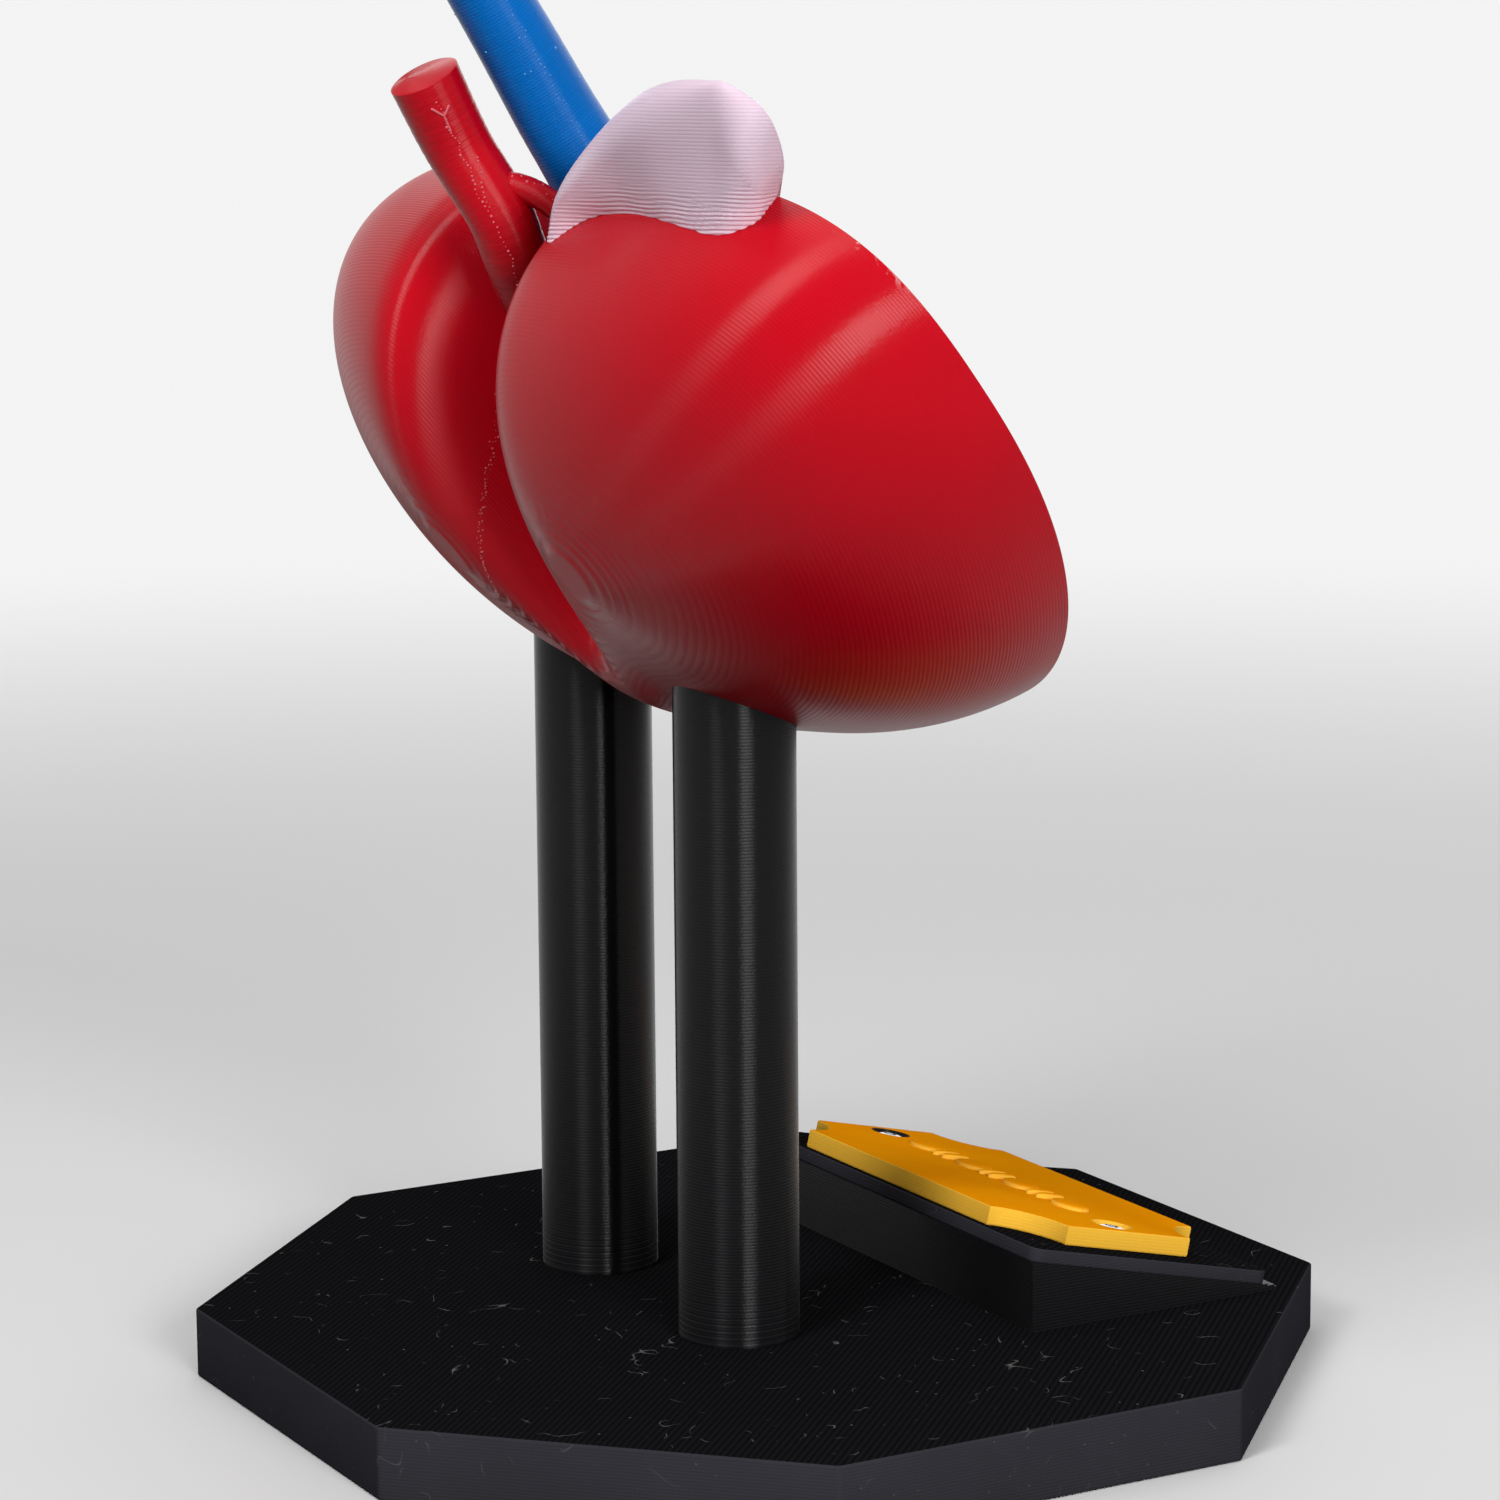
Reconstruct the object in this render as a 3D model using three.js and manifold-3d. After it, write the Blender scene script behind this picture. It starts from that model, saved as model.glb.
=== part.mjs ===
// Kidney anatomy model: a half kidney held over an octagonal base by two posts, with a tilted nameplate.
// Millimetres, +Z up. The origin is the middle of the base's underside and the reader stands at -Y.
// Kidney pieces are drawn in the frame of the cut face: x along the kidney, y up the face, z out of it.
import * as THREE from "three";
import { mergeVertices } from "three/addons/utils/BufferGeometryUtils.js";
import Module from "manifold-3d";

const wasm = await Module();
wasm.setup();

// Fits shared by all pieces
const SEAT_GAP = 0.3;
const HOLE_END = 0.5;
const OVERRUN = 1;

// Base and posts
const BASE_ACROSS = 150;
const BASE_THICK = 10;
const POST_DIAMETER = 16.9;
const POST_SPACING = 41.9;
const POSTS_X = 2.6;
const POSTS_Y = 14;
const TENON_DIAMETER = 12;
const TENON_LENGTH = 6;
const DOWEL_DIAMETER = 8;
const DOWEL_LENGTH = 7;

// Nameplate stand
const WEDGE_LENGTH = 79;
const WEDGE_RUN = 41.6;
const WEDGE_HEIGHT = 10;
const WEDGE_NOSE = 0.4;
const WEDGE_BACK_Y = -20.9;
const WEDGE_PEG_DIAMETER = 5;
const WEDGE_PEG_LENGTH = 4;
const WEDGE_PEG_INSET = 14;
const WEDGE_PEG_END = 14.5;
const BACKING_WIDTH = 41;
const BACKING_THICK = 1.7;
const BACKING_CORNER = 2;
const PLATE_END_MARGIN = 4.5;
const PLATE_LENGTH = WEDGE_LENGTH - 2 * PLATE_END_MARGIN;
const PLATE_WIDTH = 35.5;
const PLATE_THICK = 2.8;
const PLATE_MARGIN = 0.9;
const SCOOP_LENGTH = 9.6;
const SCOOP_WIDTH = 7.1;
const FRIEZE_RISE = 0.8;
const FRIEZE_END = 12;
const FRIEZE_WIDTH = 5;
const BEAD_LENGTH = 7;
const REEL_LENGTH = 1.5;
const FRIEZE_SPACE = 1;
const SCREW_END = 4.5;
const SCREW_SPACING = PLATE_LENGTH - 2 * SCREW_END;
const SCREW_HEAD_DIAMETER = 5.5;
const SCREW_HEAD_HEIGHT = 1.6;
const SCREW_RIM_HEIGHT = 0.5;
const SCREW_SHANK_DIAMETER = 3;
const SCREW_LENGTH = 7.5;
const SCREW_POINT = 0.5;
const SCREW_HEX = 2;
const SCREW_HEX_DEPTH = 1;
const SCREW_SINK = 2;

// Kidney: place, tilt and the shape of its dome
const KIDNEY_X = -1.7;
const KIDNEY_Y = 2.6;
const KIDNEY_Z = 131.5;
const FACE_TILT = 37;
const NEAR_LENGTH = 78.4;
const FAR_LENGTH = 58;
const UPPER_HEIGHT = 48.2;
const DOME_DEPTH = 39.8;
const DOME_LEAN = 0.29;
const END_FULLNESS = 2.42;
const BACK_FULLNESS = 0.98;
const END_LIFT = 18.3;
const LOBE_BLEND = 0.3;
const CLEFT_DEPTH = 57.2;
const CLEFT_HALF_WIDTH = 9.8;
const CLEFT_EDGE = 2.4;
const CLEFT_REACH = 1.4;
const WALL_UNDER_CLEFT = 37.5;
const LOWER_HEIGHT = CLEFT_DEPTH - UPPER_HEIGHT + WALL_UNDER_CLEFT;
const SADDLE_DIP = 4;
const SADDLE_HALF_WIDTH = 12;

// Inlays of the cut face
const CORTEX_WIDTH = 7.5;
const LOBE_CENTRE_Y = 5;
const NEAR_CENTRE_X = -36;
const NEAR_ANGLES = [98, 143, 188, 233, 281];
const FAR_CENTRE_X = 27;
const FAR_ANGLES = [82, 37, -8, -53, -101];
const LOBE_PAPILLA_RADIUS = 11;
const MIDDLE_X = -4;
const MIDDLE_DROP = 4;
const MIDDLE_ANGLE = 270;
const MIDDLE_PAPILLA_RADIUS = 9;
const PYRAMID_DEPTH = 4;
const PYRAMID_RISE = 0.9;
const PYRAMID_EDGE = 0.5;
const PYRAMID_TAPER = 0.42;
const PYRAMID_HALF_ANGLE = 18;
const PYRAMID_BEND_SHARE = 0.85;
const PYRAMID_ARC_SHARE = 0.75;
const PAPILLA_HALF_WIDTH = 2;
const PAPILLA_HOLLOW_SHARE = 1.6;
const PELVIS_RADIUS = 4.6;
const PELVIS_SINK = 1.2;
const MAJOR_CALYX_RADIUS = 3.3;
const CALYX_RADIUS = 1.8;
const CALYX_MOUTH_RADIUS = 2.2;

// Vessel points are across, above the floor of the cleft, and out of the cut face
const ARTERY_PATH = [
  [-4.2, 80.6, -9],
  [-3.2, 70, -10.3],
  [-5.9, 60, -12],
  [-4.4, 54, -12.9],
  [0, 43, -13.3],
  [0, 25, -13],
  [0, 6, -13],
];
const ARTERY_RADII = [4.8, 4.5, 4.4, 4.4, 4.4, 4.5, 4.6];
const BRANCH_PATH = [
  [-5.6, 64, -10.6],
  [-8.9, 61.6, -8.4],
  [-11, 57.6, -7],
  [-9.6, 48, -6.4],
  [-8.4, 37, -7],
  [-10.6, 27, -8],
];
const BRANCH_RADII = [1.9, 1.8, 1.6, 1.5, 1.5, 1.4];
const VEIN_PATH = [
  [-11.2, 96, 3],
  [-8.5, 79, 2.9],
  [-6.3, 66, 2.6],
  [-6, 56.4, 2],
  [-2, 39, 1],
  [-0.4, 28, 0],
  [0, 18, -0.5],
];
const VEIN_RADII = [4.8, 5.2, 5.6, 6, 6, 6];

// Gland points are measured from a point just over the kidney's upper rim, below the gland's middle.
// Each rib of the gland runs from its front edge over its crest to its foot on the dome.
const GLAND_X = -45;
const GLAND_RISE = 0.6;
const GLAND_FRONT = [
  [27, -0.8, 0],
  [20, 6, 0],
  [9, 11.6, 0],
  [-6, 15, 0],
  [-20, 15.2, 0],
];
const GLAND_CREST = [
  [22.2, 1.2, -14.8],
  [17, 7.2, -13.5],
  [8.3, 11.8, -8.2],
  [-4, 14.6, -5],
  [-19, 15.6, -1.6],
];
const GLAND_FOOT = [
  [21.7, -1.3, -15.6],
  [17, 0.2, -10.6],
  [7.7, 0.5, -9.1],
  [-3, 0.1, -9.6],
  [-10.5, -1.2, -9.9],
];
const GLAND_END_FRONT = [
  [-20, 15.2, 0],
  [-25, 10.8, 0],
  [-21.8, 3.6, 0],
  [-14, -2.4, 0],
];
const GLAND_END_CREST = [
  [-19, 15.6, -1.6],
  [-22.5, 9.6, -4],
  [-20.6, 2.6, -4],
  [-14.2, -2.5, -1],
];
const GLAND_END_FOOT = [
  [-10.5, -1.2, -9.9],
  [-14, -1.6, -8.7],
  [-16.2, -2.2, -5.4],
  [-14.4, -2.6, -2],
];
const GLAND_ROOT = 9;
const GLAND_ROOT_SHARE = 0.3;
const GLAND_ROUNDING = 0.2;
const GLAND_PEG_DIAMETER = 4;
const GLAND_PEG_LENGTH = 5;
const GLAND_PEG_DEPTH = 5.5;

// Facets and steps
const MERGE_STEP = 1e-4;
const SKIN_STEP = 1e-3;
const HALVINGS = 30;
const WALK_STEP = 0.25;
const ROUND_SIDES = 24;
const SCREW_SIDES = 16;
const CURVE_STEPS = 5;
const DOME_RINGS = 46;
const DOME_STEPS = 20;
const SLICE_EVEN_SHARE = 0.55;
const VESSEL_SIDES = 12;
const ARTERY_STEPS = 18;
const BRANCH_STEPS = 9;
const VEIN_STEPS = 18;
const CALYX_SIDES = 8;
const GLAND_STEPS = 12;
const GLAND_END_STEPS = 6;
const GLAND_BEND_STEPS = 3;

const X_AXIS = new THREE.Vector3(1, 0, 0);
const Y_AXIS = new THREE.Vector3(0, 1, 0);
const Z_AXIS = new THREE.Vector3(0, 0, 1);
const toRadians = THREE.MathUtils.degToRad;

// Materials, one function for each finish
function printed(colour, roughness) {
  return new THREE.MeshStandardMaterial({ color: colour, roughness: roughness, metalness: 0 });
}
const blackPrint = () => printed("#131316", 0.45);
const goldPrint = () => printed("#e8960c", 0.35);
const kidneyRed = () => printed("#b4061c", 0.3);
const arteryRed = () => printed("#b8101c", 0.3);
const veinBlue = () => printed("#0a5cb8", 0.35);
const glandLilac = () => printed("#d6bcd0", 0.4);
const medullaRed = () => printed("#7c1420", 0.4);
const pelvisCream = () => printed("#e6c97a", 0.4);
const steel = () => new THREE.MeshStandardMaterial({ color: "#b9bcc0", roughness: 0.3, metalness: 1 });

// A closed geometry as a solid: only positions are kept, equal corners are merged, triangles
// that fell flat are dropped, and a geometry that was wound inwards is turned round.
function solidOf(geometry) {
  const loose = geometry.index ? geometry.toNonIndexed() : geometry;
  const bare = new THREE.BufferGeometry();
  bare.setAttribute("position", loose.getAttribute("position").clone());
  const merged = mergeVertices(bare, MERGE_STEP);
  const place = merged.getAttribute("position");
  const corners = merged.index.array;
  const kept = [];
  for (let i = 0; i < corners.length; i += 3) {
    const [a, b, c] = [corners[i], corners[i + 1], corners[i + 2]];
    if (a !== b && b !== c && a !== c) kept.push(a, b, c);
  }
  if (signedVolume(place, kept) < 0) kept.reverse();
  const mesh = new wasm.Mesh({
    numProp: 3,
    vertProperties: new Float32Array(place.array),
    triVerts: new Uint32Array(kept),
  });
  return new wasm.Manifold(mesh);
}

function signedVolume(place, corners) {
  const [a, b, c] = [new THREE.Vector3(), new THREE.Vector3(), new THREE.Vector3()];
  let sum = 0;
  for (let i = 0; i < corners.length; i += 3) {
    a.fromBufferAttribute(place, corners[i]);
    b.fromBufferAttribute(place, corners[i + 1]);
    c.fromBufferAttribute(place, corners[i + 2]);
    sum += a.dot(b.cross(c));
  }
  return sum;
}

function meshOf(name, solid, material) {
  const result = solid.getMesh();
  const positions = new Float32Array(result.numVert * 3);
  for (let i = 0; i < result.numVert; i++) {
    const start = i * result.numProp;
    positions.set(result.vertProperties.subarray(start, start + 3), i * 3);
  }
  const geometry = new THREE.BufferGeometry();
  geometry.setAttribute("position", new THREE.BufferAttribute(positions, 3));
  geometry.setIndex(new THREE.BufferAttribute(new Uint32Array(result.triVerts), 1));
  geometry.computeVertexNormals();
  const mesh = new THREE.Mesh(geometry, material);
  mesh.name = name;
  return mesh;
}

function joined(geometries) {
  return geometries.map(solidOf).reduce((whole, next) => whole.add(next));
}

// A round bar along Z between two heights
function bar(diameter, from, to, x = 0, y = 0) {
  const geometry = new THREE.CylinderGeometry(diameter / 2, diameter / 2, to - from, ROUND_SIDES);
  geometry.rotateX(Math.PI / 2);
  geometry.translate(x, y, (from + to) / 2);
  return geometry;
}

function slab(shape, from, to) {
  const options = { depth: to - from, bevelEnabled: false, curveSegments: CURVE_STEPS };
  return new THREE.ExtrudeGeometry(shape, options).translate(0, 0, from);
}

// A closed skin through rings of equally many points, with a fan over each end ring
function loft(rings) {
  const count = rings[0].length;
  const points = [];
  const face = (a, b, c) => points.push(a.x, a.y, a.z, b.x, b.y, b.z, c.x, c.y, c.z);
  for (let i = 0; i + 1 < rings.length; i++) {
    for (let j = 0; j < count; j++) {
      const k = (j + 1) % count;
      face(rings[i][j], rings[i + 1][j], rings[i + 1][k]);
      face(rings[i][j], rings[i + 1][k], rings[i][k]);
    }
  }
  const first = rings[0];
  const last = rings[rings.length - 1];
  const sumOf = (ring) => ring.reduce((sum, p) => sum.add(p), new THREE.Vector3());
  const middleOf = (ring) => sumOf(ring).divideScalar(count);
  for (let j = 0; j < count; j++) {
    const k = (j + 1) % count;
    face(middleOf(first), first[j], first[k]);
    face(middleOf(last), last[k], last[j]);
  }
  const geometry = new THREE.BufferGeometry();
  geometry.setAttribute("position", new THREE.Float32BufferAttribute(points, 3));
  return geometry;
}

function curveThrough(points, origin) {
  return new THREE.CatmullRomCurve3(points.map((p) => new THREE.Vector3(...p).add(origin)));
}

// Base plate, with a blind socket for each post and each wedge peg
const base = new THREE.Group();
const postPlaces = [POSTS_X - POST_SPACING / 2, POSTS_X + POST_SPACING / 2];
const pegPlaces = [WEDGE_PEG_END - WEDGE_LENGTH / 2, WEDGE_LENGTH / 2 - WEDGE_PEG_END];
const pegY = WEDGE_BACK_Y - WEDGE_PEG_INSET;

function octagon(across) {
  const reach = across / 2 / Math.cos(Math.PI / 8);
  const corners = [];
  for (let i = 0; i < 8; i++) {
    const angle = (Math.PI / 4) * (i + 0.5);
    corners.push(new THREE.Vector2(reach * Math.cos(angle), reach * Math.sin(angle)));
  }
  return new THREE.Shape(corners);
}

function socket(diameter, length, x, y) {
  const floor = BASE_THICK - length - HOLE_END;
  return solidOf(bar(diameter + 2 * SEAT_GAP, floor, BASE_THICK + OVERRUN, x, y));
}

function makeBase() {
  let plate = solidOf(slab(octagon(BASE_ACROSS), 0, BASE_THICK));
  for (const x of postPlaces) {
    plate = plate.subtract(socket(TENON_DIAMETER, TENON_LENGTH, x, POSTS_Y));
  }
  for (const x of pegPlaces) {
    plate = plate.subtract(socket(WEDGE_PEG_DIAMETER, WEDGE_PEG_LENGTH, x, pegY));
  }
  return plate;
}
base.add(meshOf("base_plate", makeBase(), blackPrint()));

// The kidney's frame: y runs up the tilted cut face and z points out of it to the reader
const kidney = new THREE.Group();
kidney.position.set(KIDNEY_X, KIDNEY_Y, KIDNEY_Z);
kidney.rotation.x = toRadians(90 - FACE_TILT);
kidney.updateMatrix();
const toKidney = kidney.matrix.clone().invert();
base.add(kidney);

// The dome as a function of two numbers: along runs -1 to 1 from pole to pole, and round runs
// 0 to pi from the lower rim over the back to the upper rim. The cleft is pressed in from above.
const HALF_LENGTH = (NEAR_LENGTH + FAR_LENGTH) / 2;
const LOBE_BIAS = (FAR_LENGTH - NEAR_LENGTH) / (FAR_LENGTH + NEAR_LENGTH);
const CLEFT_FLOOR_Y = UPPER_HEIGHT - CLEFT_DEPTH;

function domePoint(along, round) {
  const x = HALF_LENGTH * along;
  const cap = Math.max(1 - Math.abs(along) ** END_FULLNESS, 0) ** (1 / END_FULLNESS);
  const turn = Math.cos(round);
  const dip = SADDLE_DIP * Math.exp(-((x / SADDLE_HALF_WIDTH) ** 2));
  const depth = (DOME_DEPTH - dip) * cap * Math.max(Math.sin(round), 0) ** BACK_FULLNESS;
  const height = turn > 0 ? LOWER_HEIGHT : UPPER_HEIGHT;
  const cleft = CLEFT_DEPTH * Math.exp(-(Math.abs(x / CLEFT_HALF_WIDTH) ** CLEFT_EDGE));
  const open = ((1 - turn) / 2) ** CLEFT_REACH;
  const y = -height * turn * cap + END_LIFT * along ** 2 + DOME_LEAN * depth - cleft * open;
  return new THREE.Vector3(x * (1 + LOBE_BIAS * Math.tanh(along / LOBE_BLEND)), y, -depth);
}

// The direction straight out of the dome, from two short steps along its skin
function outward(along, round) {
  const a = THREE.MathUtils.clamp(along, SKIN_STEP - 1, 1 - 2 * SKIN_STEP);
  const r = THREE.MathUtils.clamp(round, SKIN_STEP, Math.PI - 2 * SKIN_STEP);
  const here = domePoint(a, r);
  const sideways = domePoint(a + SKIN_STEP, r).sub(here);
  const upwards = domePoint(a, r + SKIN_STEP).sub(here);
  return upwards.cross(sideways).normalize();
}

// One slice of the dome. A grown slice lies outside the skin all round, and before the cut face.
function domeSlice(along, grow) {
  const slice = [];
  for (let j = 0; j <= DOME_STEPS; j++) {
    const round = (Math.PI * j) / DOME_STEPS;
    slice.push(domePoint(along, round).addScaledVector(outward(along, round), grow));
  }
  if (grow > 0) {
    const lowerRim = slice[0];
    const upperRim = slice[DOME_STEPS];
    slice.unshift(new THREE.Vector3(lowerRim.x, lowerRim.y, grow));
    slice.push(new THREE.Vector3(upperRim.x, upperRim.y, grow));
  }
  return slice;
}

// Slices stand closest together at the cleft, where the skin bends most
function domeGeometry(grow) {
  const slices = [];
  for (let i = 0; i <= DOME_RINGS; i++) {
    const s = (2 * i) / DOME_RINGS - 1;
    const share = SLICE_EVEN_SHARE + (1 - SLICE_EVEN_SHARE) * s * s;
    slices.push(domeSlice(Math.sin((Math.PI / 2) * s * share), grow));
  }
  return loft(slices);
}

// The slice at a given x, found by halving
function sliceAt(x) {
  let [low, high] = [-1, 1];
  for (let i = 0; i < HALVINGS; i++) {
    const middle = (low + high) / 2;
    if (domePoint(middle, 0).x < x) low = middle;
    else high = middle;
  }
  return domeSlice(low, 0);
}

function rimHeight(x) {
  return sliceAt(x)[DOME_STEPS].y;
}

function insideDome(point) {
  if (point.x <= -NEAR_LENGTH || point.x >= FAR_LENGTH) return false;
  const slice = sliceAt(point.x);
  let inside = false;
  slice.forEach((a, j) => {
    const b = slice[(j + 1) % slice.length];
    if (a.z > point.z === b.z > point.z) return;
    const crossing = a.y + ((b.y - a.y) * (point.z - a.z)) / (b.z - a.z);
    if (point.y < crossing) inside = !inside;
  });
  return inside;
}

// How far a straight walk goes until it has come inside the dome, or has left it
function walk(start, direction, untilInside) {
  const limit = BASE_ACROSS;
  const point = start.clone();
  let gone = 0;
  while (gone < limit && insideDome(point) !== untilInside) {
    point.addScaledVector(direction, WALK_STEP);
    gone += WALK_STEP;
  }
  return gone;
}

// Posts: a tenon in the base, a shaft cut to the dome, and a dowel up into the kidney
const grownDomeOverBase = solidOf(domeGeometry(SEAT_GAP).applyMatrix4(kidney.matrix));
const upInKidney = Z_AXIS.clone().transformDirection(toKidney);

function dowelTop(x) {
  const foot = new THREE.Vector3(x, POSTS_Y, BASE_THICK).applyMatrix4(toKidney);
  return BASE_THICK + walk(foot, upInKidney, true) + DOWEL_LENGTH;
}

function makePost(x) {
  const shaft = solidOf(bar(POST_DIAMETER, BASE_THICK, dowelTop(x), x, POSTS_Y));
  const tenon = bar(TENON_DIAMETER, BASE_THICK - TENON_LENGTH, BASE_THICK + OVERRUN, x, POSTS_Y);
  const dowel = bar(DOWEL_DIAMETER, BASE_THICK + OVERRUN, dowelTop(x), x, POSTS_Y);
  return shaft.subtract(grownDomeOverBase).add(joined([tenon, dowel]));
}
base.add(meshOf("post_left", makePost(postPlaces[0]), blackPrint()));
base.add(meshOf("post_right", makePost(postPlaces[1]), blackPrint()));

function dowelHole(x) {
  const diameter = DOWEL_DIAMETER + 2 * SEAT_GAP;
  return bar(diameter, BASE_THICK, dowelTop(x) + HOLE_END, x, POSTS_Y).applyMatrix4(toKidney);
}

// Nameplate stand: its slope is a frame whose y runs up the slope from the wedge's top edge
const slope = new THREE.Group();
slope.position.set(0, WEDGE_BACK_Y, BASE_THICK + WEDGE_HEIGHT);
slope.rotation.x = Math.atan((WEDGE_HEIGHT - WEDGE_NOSE) / WEDGE_RUN);
slope.updateMatrix();
base.add(slope);

const backingFrom = SEAT_GAP;
const backingTo = backingFrom + BACKING_THICK;
const plateFrom = backingTo + SEAT_GAP;
const plateTo = plateFrom + PLATE_THICK;
const plateY = -PLATE_MARGIN - PLATE_WIDTH / 2;
const screwPlaces = [-SCREW_SPACING / 2, SCREW_SPACING / 2];
const screwSeat = plateTo - SCREW_SINK + SEAT_GAP;
const screwHole = SCREW_SHANK_DIAMETER + 2 * SEAT_GAP;

function makeWedge() {
  const top = BASE_THICK + WEDGE_HEIGHT;
  const nose = WEDGE_BACK_Y - WEDGE_RUN;
  const side = new THREE.Shape();
  side.moveTo(WEDGE_BACK_Y, BASE_THICK);
  side.lineTo(WEDGE_BACK_Y, top);
  side.lineTo(nose, BASE_THICK + WEDGE_NOSE);
  side.lineTo(nose, BASE_THICK);
  side.closePath();
  const lengthways = new THREE.Matrix4().makeBasis(Y_AXIS, Z_AXIS, X_AXIS);
  let wedge = solidOf(slab(side, -WEDGE_LENGTH / 2, WEDGE_LENGTH / 2).applyMatrix4(lengthways));
  for (const x of pegPlaces) {
    const pegFoot = BASE_THICK - WEDGE_PEG_LENGTH;
    wedge = wedge.add(solidOf(bar(WEDGE_PEG_DIAMETER, pegFoot, BASE_THICK + OVERRUN, x, pegY)));
  }
  for (const x of screwPlaces) {
    const hole = bar(screwHole, screwSeat - SCREW_LENGTH - HOLE_END, plateTo, x, plateY);
    wedge = wedge.subtract(solidOf(hole.applyMatrix4(slope.matrix)));
  }
  return wedge;
}
base.add(meshOf("nameplate_wedge", makeWedge(), blackPrint()));

function makeBacking() {
  const half = WEDGE_LENGTH / 2;
  const cornerX = half - BACKING_CORNER;
  const cornerY = BACKING_CORNER - BACKING_WIDTH;
  const outline = new THREE.Shape();
  outline.moveTo(-half, 0);
  outline.lineTo(-half, cornerY);
  outline.absarc(-cornerX, cornerY, BACKING_CORNER, Math.PI, 1.5 * Math.PI);
  outline.absarc(cornerX, cornerY, BACKING_CORNER, 1.5 * Math.PI, 2 * Math.PI);
  outline.lineTo(half, 0);
  outline.closePath();
  let backing = solidOf(slab(outline, backingFrom, backingTo));
  for (const x of screwPlaces) {
    backing = backing.subtract(solidOf(bar(screwHole, 0, plateFrom, x, plateY)));
  }
  return backing;
}
slope.add(meshOf("nameplate_backing", makeBacking(), blackPrint()));

// A plate whose four corners are scooped out by quarter ellipses
function scoopedPlate() {
  const [x, y] = [PLATE_LENGTH / 2, PLATE_WIDTH / 2];
  const outline = new THREE.Shape();
  const [long, wide] = [SCOOP_LENGTH, SCOOP_WIDTH];
  outline.absellipse(x, -y, long, wide, Math.PI, Math.PI / 2, true);
  outline.absellipse(x, y, long, wide, 1.5 * Math.PI, Math.PI, true);
  outline.absellipse(-x, y, long, wide, 0, -Math.PI / 2, true);
  outline.absellipse(-x, -y, long, wide, Math.PI / 2, 0, true);
  outline.closePath();
  return slab(outline, plateFrom, plateTo).translate(0, plateY, 0);
}

// A bead-and-reel moulding along the middle of the plate: oval beads with pairs of reels between
function frieze() {
  const period = BEAD_LENGTH + 2 * REEL_LENGTH + 3 * FRIEZE_SPACE;
  const beads = Math.floor((PLATE_LENGTH - 2 * FRIEZE_END - BEAD_LENGTH) / period) + 1;
  const start = (-(beads - 1) * period) / 2;
  const pieces = [];
  for (let i = 0; i < beads; i++) {
    const x = start + i * period;
    const bead = new THREE.Shape();
    bead.absellipse(x, 0, BEAD_LENGTH / 2, FRIEZE_WIDTH / 2, 0, 2 * Math.PI);
    pieces.push(bead);
    if (i === beads - 1) break;
    for (const side of [-1, 1]) {
      const reel = new THREE.Shape();
      const reelX = x + period / 2 + (side * (REEL_LENGTH + FRIEZE_SPACE)) / 2;
      reel.absellipse(reelX, 0, REEL_LENGTH / 2, FRIEZE_WIDTH / 2, 0, 2 * Math.PI);
      pieces.push(reel);
    }
  }
  const raised = (shape) => slab(shape, plateTo - FRIEZE_RISE, plateTo + FRIEZE_RISE);
  return pieces.map((shape) => raised(shape).translate(0, plateY, 0));
}

function makePlate() {
  let plate = joined([scoopedPlate(), ...frieze()]);
  for (const x of screwPlaces) {
    const sinkWidth = SCREW_HEAD_DIAMETER + 2 * SEAT_GAP;
    const sink = bar(sinkWidth, plateTo - SCREW_SINK, plateTo + OVERRUN, x, plateY);
    plate = plate.subtract(joined([sink, bar(screwHole, 0, plateTo, x, plateY)]));
  }
  return plate;
}
slope.add(meshOf("nameplate", makePlate(), goldPrint()));

// Button-head screw with a hexagon socket, its seat at height 0
function makeScrew() {
  const [shank, head] = [SCREW_SHANK_DIAMETER / 2, SCREW_HEAD_DIAMETER / 2];
  const profile = [
    new THREE.Vector2(0, -SCREW_LENGTH),
    new THREE.Vector2(shank - SCREW_POINT, -SCREW_LENGTH),
    new THREE.Vector2(shank, SCREW_POINT - SCREW_LENGTH),
    new THREE.Vector2(shank, 0),
    new THREE.Vector2(head, 0),
  ];
  for (let i = 0; i <= CURVE_STEPS; i++) {
    const angle = (Math.PI / 2) * (i / CURVE_STEPS);
    const rise = SCREW_HEAD_HEIGHT - SCREW_RIM_HEIGHT;
    profile.push(new THREE.Vector2(head * Math.cos(angle), SCREW_RIM_HEIGHT + rise * Math.sin(angle)));
  }
  profile[profile.length - 1].x = 0;
  const body = solidOf(new THREE.LatheGeometry(profile, SCREW_SIDES).rotateX(Math.PI / 2));
  const reach = SCREW_HEX / Math.sqrt(3);
  const hex = new THREE.CylinderGeometry(reach, reach, 2 * SCREW_HEX_DEPTH, 6).rotateX(Math.PI / 2);
  return body.subtract(solidOf(hex.translate(0, 0, SCREW_HEAD_HEIGHT)));
}
["nameplate_screw_left", "nameplate_screw_right"].forEach((name, i) => {
  const screw = meshOf(name, makeScrew(), steel());
  screw.position.set(screwPlaces[i], plateY, screwSeat);
  slope.add(screw);
});

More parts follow.
